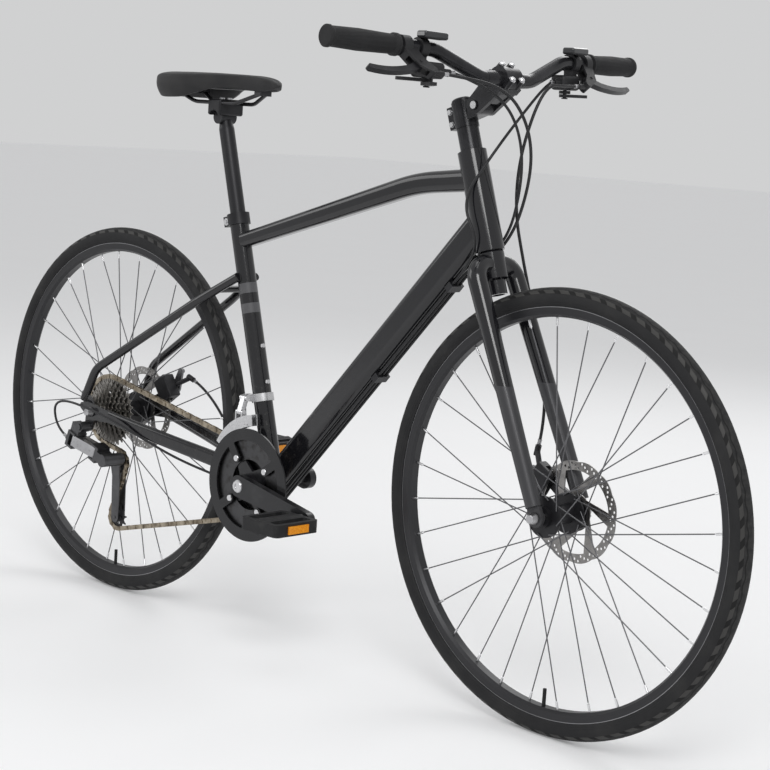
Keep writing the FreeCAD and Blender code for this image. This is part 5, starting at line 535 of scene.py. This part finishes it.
def chain_finish():
    """Steel under a brown film of oil, with grit caught in it."""
    material, place = finish("oiled_chain_steel")
    film = place.grain(60, 5).ramp(0.3, 0.75)
    grit = place.grain(900, 3).ramp(0.55, 0.75)
    lay(material, (0.55 * grit).tint(film.tint(CHAIN_NICKEL, CHAIN_BROWN), CHAIN_GRIT),
        0.28 + 0.2 * film + 0.2 * grit, place.grain(2200, 2).raised(0.00004, 0.4),
        metallic=1.0 - 0.4 * grit)
    return material


def chain_links(mesh):
    """The chain's corners with doubles merged, its triangles, and for each triangle the middle of its link,
    ahead and above. Triangles that share a corner are one link, named by its lowest corner's number."""
    loose = np.empty(len(mesh.vertices) * 3)
    mesh.vertices.foreach_get("co", loose)
    index = np.empty(len(mesh.loops), dtype=np.int32)
    mesh.loops.foreach_get("vertex_index", index)
    corners, merged = np.unique(np.round(loose.reshape(-1, 3), 6), axis=0, return_inverse=True)
    triangles = merged.ravel()[index].reshape(-1, 3)
    link = np.arange(len(corners))
    settled = False
    while not settled:
        before = link.copy()
        np.minimum.at(link, triangles.ravel(), np.repeat(link[triangles].min(axis=1), 3))
        settled = np.array_equal(link, before)
    count = np.maximum(np.bincount(link), 1)
    middle = np.stack([np.bincount(link, corners[:, axis]) / count for axis in (0, 2)], axis=-1)
    return corners, triangles, middle[link[triangles[:, 0]]]


def on_run(spots, run):
    """True where a spot lies beside the straight run from its first end to its last."""
    first, last = run[:, [0, 2]]
    share = (spots - first) @ (last - first) / ((last - first) @ (last - first))
    off = np.linalg.norm(spots - first - share[:, None] * (last - first), axis=1)
    return (share > 0) & (share < 1) & (off < RUN_REACH)


chain_steel = chain_finish()
corners, triangles, spots = chain_links(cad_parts["chain"].data)


def chain_piece(name, chosen):
    """The chosen triangles of the chain as a piece of their own."""
    used, index = np.unique(triangles[chosen], return_inverse=True)
    mesh = bpy.data.meshes.new(name)
    mesh.from_pydata(corners[used], [], index.reshape(-1, 3).tolist())
    mesh.validate()
    mesh.materials.append(chain_steel)
    piece = bpy.data.objects.new(name, mesh)
    bpy.context.collection.objects.link(piece)
    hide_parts("chain")
    return piece


fore = on_run(spots, FORE_RUN)
aft = on_run(spots, AFT_RUN)
rising = on_run(spots, RISING_RUN)
wrapped = np.linalg.norm(spots[:, None] - PULLEY_CENTRES, axis=2).min(axis=1) < PULLEY_REACH
wrapped = (wrapped | on_run(spots, CAGE_RUN)) & ~aft & ~rising
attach(chain_piece("chain_on_rings", ~(fore | aft | rising | wrapped)), "frame")
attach(chain_piece("chain_on_pulleys", wrapped), "cage")
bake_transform(chain_piece("chain_fore_run", fore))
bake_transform(chain_piece("chain_aft_run", aft))
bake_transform(chain_piece("chain_rising_run", rising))


# Stem and handlebar.
# Forged black stem that hinges at the steerer clamp, with bright face bolts, and a butted black riser bar.
FACE_BOLTS = ((0.3914, -0.011, 0.9968), (0.3694, -0.011, 1.02),
              (0.3914, 0.011, 0.9968), (0.3694, 0.011, 1.02))
CLAMP_BOLTS = ((0.2712, -0.0105, 0.9217), (0.2712, 0.0105, 0.9217),
               (0.2647, -0.0105, 0.9406), (0.2647, 0.0105, 0.9406))
PIVOT_HEADS = ((0.3239, -0.0231, 0.9546), (0.3239, 0.0231, 0.9546))
dress(black_alloy("stem_black", 0.18, FACE_BOLTS + PIVOT_HEADS, 0.0058), "stem_extension")
dress(black_alloy("clamp_black", 0.18, CLAMP_BOLTS, 0.0046), "stem_clamp")
dress(black_alloy("bar_black", 0.16), "handlebar")


# Grips.
# Dark grey rubber sleeves pushed over the bar, moulded with a diamond tread between plain collars.
GRIP_MIDDLE = 0.2915
GRIP_HALF = 0.052
BAR_RISE = (0.3403, 1.0335)
DIAMONDS_ALONG = 1500
DIAMONDS_ROUND = 7
COLLAR_WAVE = 2600
GRIP_DEEP = (0.02, 0.02, 0.021)
GRIP_RUBBED = (0.04, 0.04, 0.041)


def grip_rubber():
    """Diamonds: the product of two waves that cross at a slant, each a sum of the way along the bar and the
    angle round it."""
    material, place = finish("grip_rubber", specular_ior_level=0.25)
    x, y, z = place.axes()
    along = abs(y)
    lengthwise = along * DIAMONDS_ALONG
    crosswise = place.round_from(*BAR_RISE) * DIAMONDS_ROUND
    wave = along.maths("SINE", lengthwise + crosswise) * along.maths("SINE", lengthwise - crosswise)
    tread = (along - GRIP_MIDDLE).between(-GRIP_HALF, GRIP_HALF, 0.001)
    collars = along.maths("SINE", along * COLLAR_WAVE)
    relief = tread * wave.ramp(-0.1, 0.5) + (1 - tread) * 0.3 * collars
    rub = place.grain(22, 5).ramp(0.45, 0.8)
    lay(material, (0.6 * rub).tint(GRIP_DEEP, GRIP_RUBBED), 0.66 + 0.14 * place.grain(140, 3),
        (relief + 0.05 * place.grain(1400, 2)).raised(0.0008, 0.8))
    return material


dress(grip_rubber(), "grips")


# Brake levers, brackets and shifters.
# Satin black alloy levers in moulded brackets. Each shifter pod has a clear gear window on top and two
# plastic thumb levers below.
WINDOW_FOOT = 1.0474
WINDOW_EDGE = 0.0002
WINDOW_TINT = (0.01, 0.011, 0.013)
POD_DEEP = (0.012, 0.012, 0.013)
POD_LIGHT = (0.024, 0.024, 0.026)


def control_finish():
    """Moulded plastic with a fine grain. Above its foot, the gear window is smooth and coated."""
    material, place = finish("control_plastic", specular_ior_level=0.35, coat_roughness=0.06)
    x, y, z = place.axes()
    window = z.ramp(WINDOW_FOOT - WINDOW_EDGE, WINDOW_FOOT + WINDOW_EDGE)
    mottle = place.grain(38, 4).tint(POD_DEEP, POD_LIGHT)
    lay(material, window.tint(mottle, WINDOW_TINT), 0.46 + 0.12 * place.grain(120, 3) - 0.36 * window,
        (place.grain(1900, 2) * (1 - window)).raised(0.00008, 0.4), coat_weight=1.0 * window)
    return material


dress(control_finish(), "lever_brackets")
dress(black_alloy("lever_black", 0.3), "brake_lever_right", "brake_lever_left")
dress(moulded_plastic("trigger_plastic", CONTROL_BLACK, 0.42),
      "shift_lever_right", "shift_lever_left", "release_lever_right", "release_lever_left")


# Seatpost and saddle clamp.
# Drawn alloy post, satin black with fine lines along its length, and a forged cradle that grips the
# saddle's dark steel rails.
POST_LINES = (1.0, 1.0, 0.02)
RAIL_DEEP = (0.03, 0.03, 0.032)
RAIL_LIGHT = (0.07, 0.07, 0.073)


def post_finish():
    """Satin black anodising over fine drawn lines."""
    material, place = finish("post_black", specular_ior_level=0.4)
    lines = place.grain(1500, 2, POST_LINES)
    colour = lines.tint(BLACK_ALLOY_DEEP, BLACK_ALLOY_LIGHT)
    lay(material, colour, 0.33 + 0.12 * lines, lines.raised(0.00003, 0.3), metallic=0.35 + 0.1 * lines)
    return material


CRADLE_SCREWS = ((-0.2908, 0.0, 0.9432), (-0.2708, 0.0, 0.9432))
dress(post_finish(), "seatpost")
dress(black_alloy("cradle_black", 0.32, CRADLE_SCREWS, 0.0062), "saddle_clamp")
dress(grey_alloy("rail_steel", RAIL_DEEP, RAIL_LIGHT, 0.3), "saddle_rails")


# Saddle.
# Foam pad under a black synthetic cover, drawn down over a stiff base. The top is level and slightly
# dished, the nose narrow, and the sides hang deepest at the back, where they hide the base.
POST_HEAD = np.array([-0.28077, 0.0, 0.909743])
BASE_TOP = 0.0525
# ahead of the post, half width, height of the top, depth of the channel, height of the hem
PAD_STATIONS = np.array([
    (0.1370, 0.0025, 0.0600, 0.0000, 0.0570), (0.1350, 0.0070, 0.0628, 0.0002, 0.0550),
    (0.1300, 0.0120, 0.0668, 0.0008, 0.0520), (0.1150, 0.0170, 0.0720, 0.0020, 0.0488),
    (0.0880, 0.0200, 0.0753, 0.0030, 0.0480), (0.0600, 0.0240, 0.0763, 0.0035, 0.0500),
    (0.0300, 0.0320, 0.0768, 0.0040, 0.0510), (0.0000, 0.0440, 0.0773, 0.0040, 0.0480),
    (-0.0280, 0.0568, 0.0773, 0.0040, 0.0390), (-0.0520, 0.0660, 0.0773, 0.0040, 0.0320),
    (-0.0780, 0.0718, 0.0768, 0.0040, 0.0300), (-0.1020, 0.0710, 0.0763, 0.0035, 0.0300),
    (-0.1170, 0.0640, 0.0735, 0.0030, 0.0330), (-0.1225, 0.0560, 0.0700, 0.0020, 0.0370),
    (-0.1245, 0.0420, 0.0650, 0.0010, 0.0440)])


CROWN_SHARE = 0.6
SHOULDER_SHARE = 0.32
CHANNEL_WIDTH = 0.26
HEM_WIDTH = 0.004
HOLLOW_BACK = -0.112
HOLLOW_FRONT = 0.126
HOLLOW_FADE = 0.008
NOSE_HELD = 0.131
TAIL_HELD = -0.1215
AIR_PRESSURE = 4.0
AIR_STEPS = 20
AIR_CAP = 0.0025


def surface_mesh(name, grid):
    """A closed skin from a grid of points: rows run along it, each row is a loop, and the end loops are
    capped."""
    rows, around = grid.shape[:2]
    index = np.arange(rows * around).reshape(rows, around)
    after = np.roll(index, -1, axis=1)
    quads = np.stack([index[:-1], after[:-1], after[1:], index[1:]], axis=-1).reshape(-1, 4)
    caps = [index[0][::-1].tolist(), index[-1].tolist()]
    mesh = bpy.data.meshes.new(name)
    mesh.from_pydata(grid.reshape(-1, 3), [], [*quads.tolist(), *caps])
    mesh.validate()
    return mesh


def pad_sizes(lengthwise):
    """The pad's sizes at even steps through the stations, on a cubic spline that passes through each."""
    s = np.linspace(0, len(PAD_STATIONS) - 1, lengthwise)
    k = np.clip(s.astype(int), 0, len(PAD_STATIONS) - 2)
    t = (s - k)[:, None]
    before = PAD_STATIONS[np.clip(k - 1, 0, None)]
    first, second = PAD_STATIONS[k], PAD_STATIONS[k + 1]
    beyond = PAD_STATIONS[np.clip(k + 2, None, len(PAD_STATIONS) - 1)]
    return (0.5 * (2 * first + (second - before) * t
                   + (2 * before - 5 * first + 4 * second - beyond) * t ** 2
                   + (3 * first - before - 3 * second + beyond) * t ** 3)).T[:, :, None]


def pad_grid(lengthwise, over, under):
    """Loops across the saddle. Each runs from hem to hem over a crown that is a flattened half wave with a
    dip at the middle, then back inside the skirt and across the base."""
    ahead, half, top, dip, hem = pad_sizes(lengthwise)
    u = np.linspace(-1, 1, over)[None, :]
    turn = np.pi / 2 * np.clip(u / CROWN_SHARE, -1, 1)
    drop = np.clip((np.abs(u) - CROWN_SHARE) / (1 - CROWN_SHARE), 0, 1)
    shoulder = top - SHOULDER_SHARE * (top - hem)
    tuck = 0.075 + 0.09 * np.clip((-0.03 - ahead) / 0.09, 0, 1)
    wide = np.sign(u) * (np.abs(np.sin(turn)) ** 0.85 + 0.02 * np.sin(np.pi * drop) - tuck * drop ** 2)
    crown = (top - shoulder) * np.clip(np.cos(turn), 0, None) ** 0.55
    channel = dip * np.exp(-(wide / CHANNEL_WIDTH) ** 2)
    outer = np.stack([ahead + 0 * u, half * wide,
                      shoulder + crown - channel - (shoulder - hem) * drop], axis=-1)
    v = np.linspace(0, 1, under)[None, :]
    hollow = (np.clip((ahead - HOLLOW_BACK) / HOLLOW_FADE, 0, 1)
              * np.clip((HOLLOW_FRONT - ahead) / HOLLOW_FADE, 0, 1))
    roof = hem + hollow * np.clip(BASE_TOP - hem, 0, None)
    climb = np.clip(np.minimum(v, 1 - v) / 0.2, 0, 1)
    inset = np.minimum(0.3 * half, HEM_WIDTH * (1 + climb))
    across = ((1 - tuck) * half - inset) * np.clip((1 - 2 * v) / 0.6, -1, 1)
    inner = np.stack([ahead + 0 * v, across, hem + (roof - hem) * climb], axis=-1)
    return POST_HEAD + np.concatenate([outer, inner], axis=1)


def puffed(piece, cap):
    """Fills the pad with air until the cover is taut, with the hem, all inside it and both ends held. No
    point moves further than cap."""
    rest = np.empty(len(piece.data.vertices) * 3)
    piece.data.vertices.foreach_get("co", rest)
    rest = rest.reshape(-1, 3)
    ahead, left, above = (rest - POST_HEAD).T
    stations = PAD_STATIONS[::-1]
    hem = np.interp(ahead, stations[:, 0], stations[:, 4])
    half = np.interp(ahead, stations[:, 0], stations[:, 1])
    inside = (above < BASE_TOP + 0.001) & (np.abs(left) < 0.82 * half - 0.003)
    held = (above < hem + 0.003) | inside | (ahead > NOSE_HELD) | (ahead < TAIL_HELD)
    foot = piece.vertex_groups.new(name="foot")
    foot.add(np.flatnonzero(held).tolist(), 1.0, "REPLACE")
    cloth = piece.modifiers.new("air", "CLOTH")
    cloth.settings.use_pressure = True
    cloth.settings.uniform_pressure_force = AIR_PRESSURE
    cloth.settings.effector_weights.gravity = 0.0
    cloth.settings.vertex_group_mass = "foot"
    for step in range(1, AIR_STEPS + 1):
        bpy.context.scene.frame_set(step)
    blown = piece.evaluated_get(bpy.context.evaluated_depsgraph_get()).to_mesh()
    moved = np.empty(len(rest) * 3)
    blown.vertices.foreach_get("co", moved)
    shift = moved.reshape(-1, 3) - rest
    far = np.linalg.norm(shift, axis=1, keepdims=True)
    piece.modifiers.clear()
    bpy.context.scene.frame_set(1)
    capped = rest + shift * np.minimum(1, cap / np.maximum(far, 1e-9))
    piece.data.vertices.foreach_set("co", capped.ravel())


COVER_DEEP = (0.016, 0.016, 0.017)
COVER_WORN = (0.034, 0.033, 0.033)


def cover_finish():
    """Synthetic cover: small pebbled cells, with a paler bloom where it is worn."""
    material, place = finish("saddle_cover", specular_ior_level=0.3, sheen_weight=0.08, sheen_roughness=0.4)
    cells = place.node("TexVoronoi", {"Vector": place, "Scale": 750.0}, output="Distance")
    wear = place.grain(20, 5).ramp(0.4, 0.75)
    lay(material, (0.6 * wear).tint(COVER_DEEP, COVER_WORN),
        0.5 + 0.14 * place.grain(60, 4), (cells + 0.5 * place.grain(2200, 2)).raised(0.00022, 0.55))
    return material


pad = bpy.data.objects.new("saddle_cover", surface_mesh("saddle_cover", pad_grid(96, 84, 36)))
bpy.context.collection.objects.link(pad)
puffed(pad, AIR_CAP)
pad.data.materials.append(cover_finish())
pad.data.shade_smooth()
taut = pad.modifiers.new("taut", "SUBSURF")
taut.levels = taut.render_levels = 1
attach(pad, "saddle")
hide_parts("saddle_pad")


# Brake and gear housings.
# Black plastic over wound steel, sprung between the lever and its stop. Each is made in two lengths and
# has a pressed ferrule at both ends.
BRAKE_BORE = 0.0025
GEAR_BORE = 0.00225
# of each route's points, the one where the lengths meet
MEETING_POINT = 3
ROUTES = {
    "front_brake": (BRAKE_BORE, [
        (0.3824, 0.1591, 0.9948), (0.3851, 0.1333, 0.9941), (0.388, 0.062, 0.992), (0.360, 0.040, 0.830),
        (0.380, 0.072, 0.680), (0.415, 0.078, 0.585), (0.4482, 0.0596, 0.482), (0.4382, 0.0596, 0.433)]),
    "front_gear": (GEAR_BORE, [
        (0.3619, 0.1227, 0.9989), (0.3633, 0.1088, 0.9985), (0.362, 0.044, 0.938), (0.356, -0.014, 0.872),
        (0.326, -0.037, 0.805), (0.3631, -0.031, 0.7443), (0.3175, -0.009, 0.6979), (0.29, -0.009, 0.6673),
        (-0.05, -0.009, 0.2886), (-0.0827, -0.009, 0.2522), (-0.152, -0.0097, 0.2666),
        (-0.178, -0.010, 0.272), (-0.1775, -0.0116, 0.292), (-0.1741, -0.0227, 0.4085)]),
    "rear_brake": (BRAKE_BORE, [
        (0.3824, -0.1591, 0.9948), (0.3851, -0.1333, 0.9941), (0.410, -0.046, 0.982), (0.414, 0.010, 0.926),
        (0.396, 0.045, 0.850), (0.3631, 0.045, 0.7443), (0.3175, 0.009, 0.6979), (0.29, 0.009, 0.6673),
        (-0.06, 0.009, 0.2775), (-0.0934, 0.009, 0.2403), (-0.240, 0.052, 0.287), (-0.3625, 0.0761, 0.3955),
        (-0.4196, 0.0761, 0.4141)]),
    "rear_gear": (GEAR_BORE, [
        (0.3619, -0.1227, 0.9989), (0.3633, -0.1088, 0.9985), (0.396, -0.042, 0.970), (0.400, 0.004, 0.920),
        (0.386, 0.036, 0.846), (0.3631, 0.037, 0.7443), (0.3175, 0.0, 0.6979), (0.29, 0.0, 0.6673),
        (-0.06, 0.0, 0.2775), (-0.0934, 0.0, 0.2403), (-0.190, -0.025, 0.271), (-0.300, -0.047, 0.290),
        (-0.380, -0.068, 0.317), (-0.480, -0.091, 0.352), (-0.622, -0.096, 0.366), (-0.624, -0.088, 0.3045),
        (-0.5865, -0.088, 0.2908)])}


def smooth_line(points):
    """The points of a quadratic spline that the route's points pull towards themselves."""
    curve = bpy.data.curves.new("route", "CURVE")
    curve.dimensions = "3D"
    curve.resolution_u = 24
    spline = curve.splines.new("NURBS")
    spline.points.add(len(points) - 1)
    spline.points.foreach_set("co", np.column_stack([points, np.ones(len(points))]).ravel())
    spline.order_u = 3
    spline.use_endpoint_u = True
    holder = bpy.data.objects.new("route", curve)
    mesh = bpy.data.meshes.new_from_object(holder)
    line = np.empty(len(mesh.vertices) * 3)
    mesh.vertices.foreach_get("co", line)
    bpy.data.objects.remove(holder)
    bpy.data.curves.remove(curve)
    return line.reshape(-1, 3)


def tube_grid(line, radii, around):
    """Circles square to a line, with the radius given at each of its points. Each circle is turned from
    the one before by the least turn that squares it to the line, so the tube has no twist."""
    heading = np.gradient(line, axis=0)
    heading /= np.linalg.norm(heading, axis=1, keepdims=True)
    start = np.cross(heading[0], (0.3, 0.5, 0.81))
    sides = [start / np.linalg.norm(start)]
    for direction in heading[1:]:
        side = sides[-1] - direction * (sides[-1] @ direction)
        sides.append(side / np.linalg.norm(side))
    side = np.array(sides)
    over = np.cross(heading, side)
    v = np.linspace(0, 2 * np.pi, around, endpoint=False)[None, :, None]
    ring = np.cos(v) * side[:, None] + np.sin(v) * over[:, None]
    return line[:, None] + ring * np.broadcast_to(radii, len(line))[:, None, None]


HOUSING_DEEP = (0.011, 0.011, 0.012)
HOUSING_LIGHT = (0.024, 0.024, 0.026)
FERRULE_DEEP = (0.3, 0.3, 0.31)
FERRULE_LIGHT = (0.55, 0.55, 0.56)
HOUSING_SIDES = 14


def housing_finish():
    """Extruded plastic: a cloudy black with a fine grain."""
    material, place = finish("housing_black", specular_ior_level=0.35)
    lay(material, place.grain(45, 4).tint(HOUSING_DEEP, HOUSING_LIGHT), 0.36 + 0.16 * place.grain(160, 3),
        place.grain(2000, 2).raised(0.00005, 0.4))
    return material


housing = housing_finish()
ferrule_metal = grey_alloy("ferrule_metal", FERRULE_DEEP, FERRULE_LIGHT, 0.28)


def housing_piece(name, line, radii, material):
    """A tube of these radii along a line, as a piece."""
    piece = bpy.data.objects.new(name, surface_mesh(name, tube_grid(line, radii, HOUSING_SIDES)))
    bpy.context.collection.objects.link(piece)
    piece.data.materials.append(material)
    piece.data.shade_smooth()
    return piece


def ferrule(name, end, onward, radius, body):
    """A pressed cup over the end of a housing, with a rolled lip where the housing enters it."""
    along = (onward - end) / np.linalg.norm(onward - end)
    run = np.array([0.0, 0.0004, 0.0078, 0.0084, 0.0092, 0.0096])
    over = np.array([0.0003, 0.0007, 0.0007, 0.0011, 0.0011, 0.0006])
    piece = housing_piece(name, end + run[:, None] * along, radius + over, ferrule_metal)
    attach(piece, body)


for name, (radius, points) in ROUTES.items():
    line = smooth_line(np.array(points))
    split = int(np.argmin(np.linalg.norm(line - np.array(points[MEETING_POINT]), axis=1)))
    upper = housing_piece(name + "_housing", line[:split + 1], radius, housing)
    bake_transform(upper)
    lower = housing_piece(name + "_run", line[split:], radius, housing)
    held = "steering" if name == "front_brake" else "frame"
    if held == "steering":
        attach(lower, held)
    else:
        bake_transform(lower)
    for piece in (upper, lower):
        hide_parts("control_cables")
    ferrule(name + "_upper_ferrule", line[0], line[1], radius, "handlebar")
    ferrule(name + "_lower_ferrule", line[-1], line[-2], radius, held)


# Studio.
# A pale floor and an even pale surround with soft lamps, and the photograph's view from ahead on the
# right.
FLOOR_DEEP = (0.78, 0.78, 0.785)
FLOOR_LIGHT = (0.8, 0.8, 0.805)
FLOOR_GLOW = (0.14, 0.141, 0.143)
NO_GLOW = (0.0, 0.0, 0.0)
SURROUND_TONE = (0.93, 0.935, 0.94)
FLOOR_HALF = 30.0
FLOOR_COUNT = 5


def floor_grid(count):
    """A level square sheet at the height of the tyres' feet."""
    u = np.linspace(-FLOOR_HALF, FLOOR_HALF, count)
    x, y = np.meshgrid(u, u, indexing="ij")
    return np.stack([x, y, np.zeros_like(x)], axis=-1)


def seen_directly(tree):
    """1 for rays from the eye, from a mirror-like face or through glass, 0 for rays that only carry light."""
    rays = tree.nodes.new("ShaderNodeLightPath").outputs
    straight, mirrored, through = (Field(tree, rays[name]) for name in
                                   ("Is Camera Ray", "Is Glossy Ray", "Is Transmission Ray"))
    return straight | mirrored | through


index = np.arange(FLOOR_COUNT ** 2).reshape(FLOOR_COUNT, FLOOR_COUNT)
tiles = np.stack([index[:-1, :-1], index[1:, :-1], index[1:, 1:], index[:-1, 1:]], axis=-1).reshape(-1, 4)
floor_mesh = bpy.data.meshes.new("floor")
floor_mesh.from_pydata(floor_grid(FLOOR_COUNT).reshape(-1, 3), [], tiles.tolist())
floor = bpy.data.objects.new("floor", floor_mesh)
bpy.context.collection.objects.link(floor)
floor_paint, place = finish("floor_paint", emission_strength=1.0)
lay(floor_paint, place.grain(3, 2).tint(FLOOR_DEEP, FLOOR_LIGHT), 0.85 + 0.1 * place.grain(5, 2),
    place.grain(400, 2).raised(0.0001, 0.1),
    emission_color=seen_directly(floor_paint.node_tree).tint(NO_GLOW, FLOOR_GLOW))
floor_mesh.materials.append(floor_paint)

world = bpy.data.worlds.new("surround")
bpy.context.scene.world = world
world.use_nodes = True
backdrop = world.node_tree.nodes["Background"]
backdrop.inputs["Color"].default_value = (*SURROUND_TONE, 1.0)
strength = 0.6 + 0.08 * seen_directly(world.node_tree)
world.node_tree.links.new(strength.socket, backdrop.inputs["Strength"])

LIT_POINT = Vector((0, 0, 0.5))
LAMPS = (("key", (2.4, -2.4, 3.0), 1.6, 60.0), ("fill", (-2.8, -2.2, 2.0), 1.8, 20.0),
         ("rim", (-0.8, 3.0, 2.8), 2.0, 30.0), ("top", (0.2, -0.4, 3.4), 1.4, 10.0))
for name, spot, width, power in LAMPS:
    lamp = bpy.data.lights.new(name, "AREA")
    lamp.size = width
    lamp.energy = power
    holder = bpy.data.objects.new(name, lamp)
    holder.location = spot
    holder.rotation_euler = (LIT_POINT - Vector(spot)).to_track_quat("-Z", "Y").to_euler()
    bpy.context.collection.objects.link(holder)

EYE = Vector((2.294, -2.239, 0.922))
EYE_AZIMUTH = math.radians(43.72)
EYE_ELEVATION = math.radians(7.92)
EYE_ROLL = math.radians(3.66)
FOCAL_PIXELS = 1897.3
IMAGE_PIXELS = 770
SENSOR = 36.0
FAR_CLIP = 200.0
back = Vector((math.sin(EYE_AZIMUTH) * math.cos(EYE_ELEVATION),
               -math.cos(EYE_AZIMUTH) * math.cos(EYE_ELEVATION), math.sin(EYE_ELEVATION)))
level = Vector((math.cos(EYE_AZIMUTH), math.sin(EYE_AZIMUTH), 0.0))
upright = back.cross(level)
right = math.cos(EYE_ROLL) * level + math.sin(EYE_ROLL) * upright
above = math.cos(EYE_ROLL) * upright - math.sin(EYE_ROLL) * level
lens = bpy.data.cameras.new("eye")
lens.sensor_width = SENSOR
lens.lens = FOCAL_PIXELS / IMAGE_PIXELS * SENSOR
lens.clip_end = FAR_CLIP
eye = bpy.data.objects.new("eye", lens)
eye.matrix_world = Matrix.Translation(EYE) @ Matrix((right, above, back)).transposed().to_4x4()
bpy.context.collection.objects.link(eye)
bpy.context.scene.camera = eye
bpy.context.scene.view_settings.view_transform = "Standard"
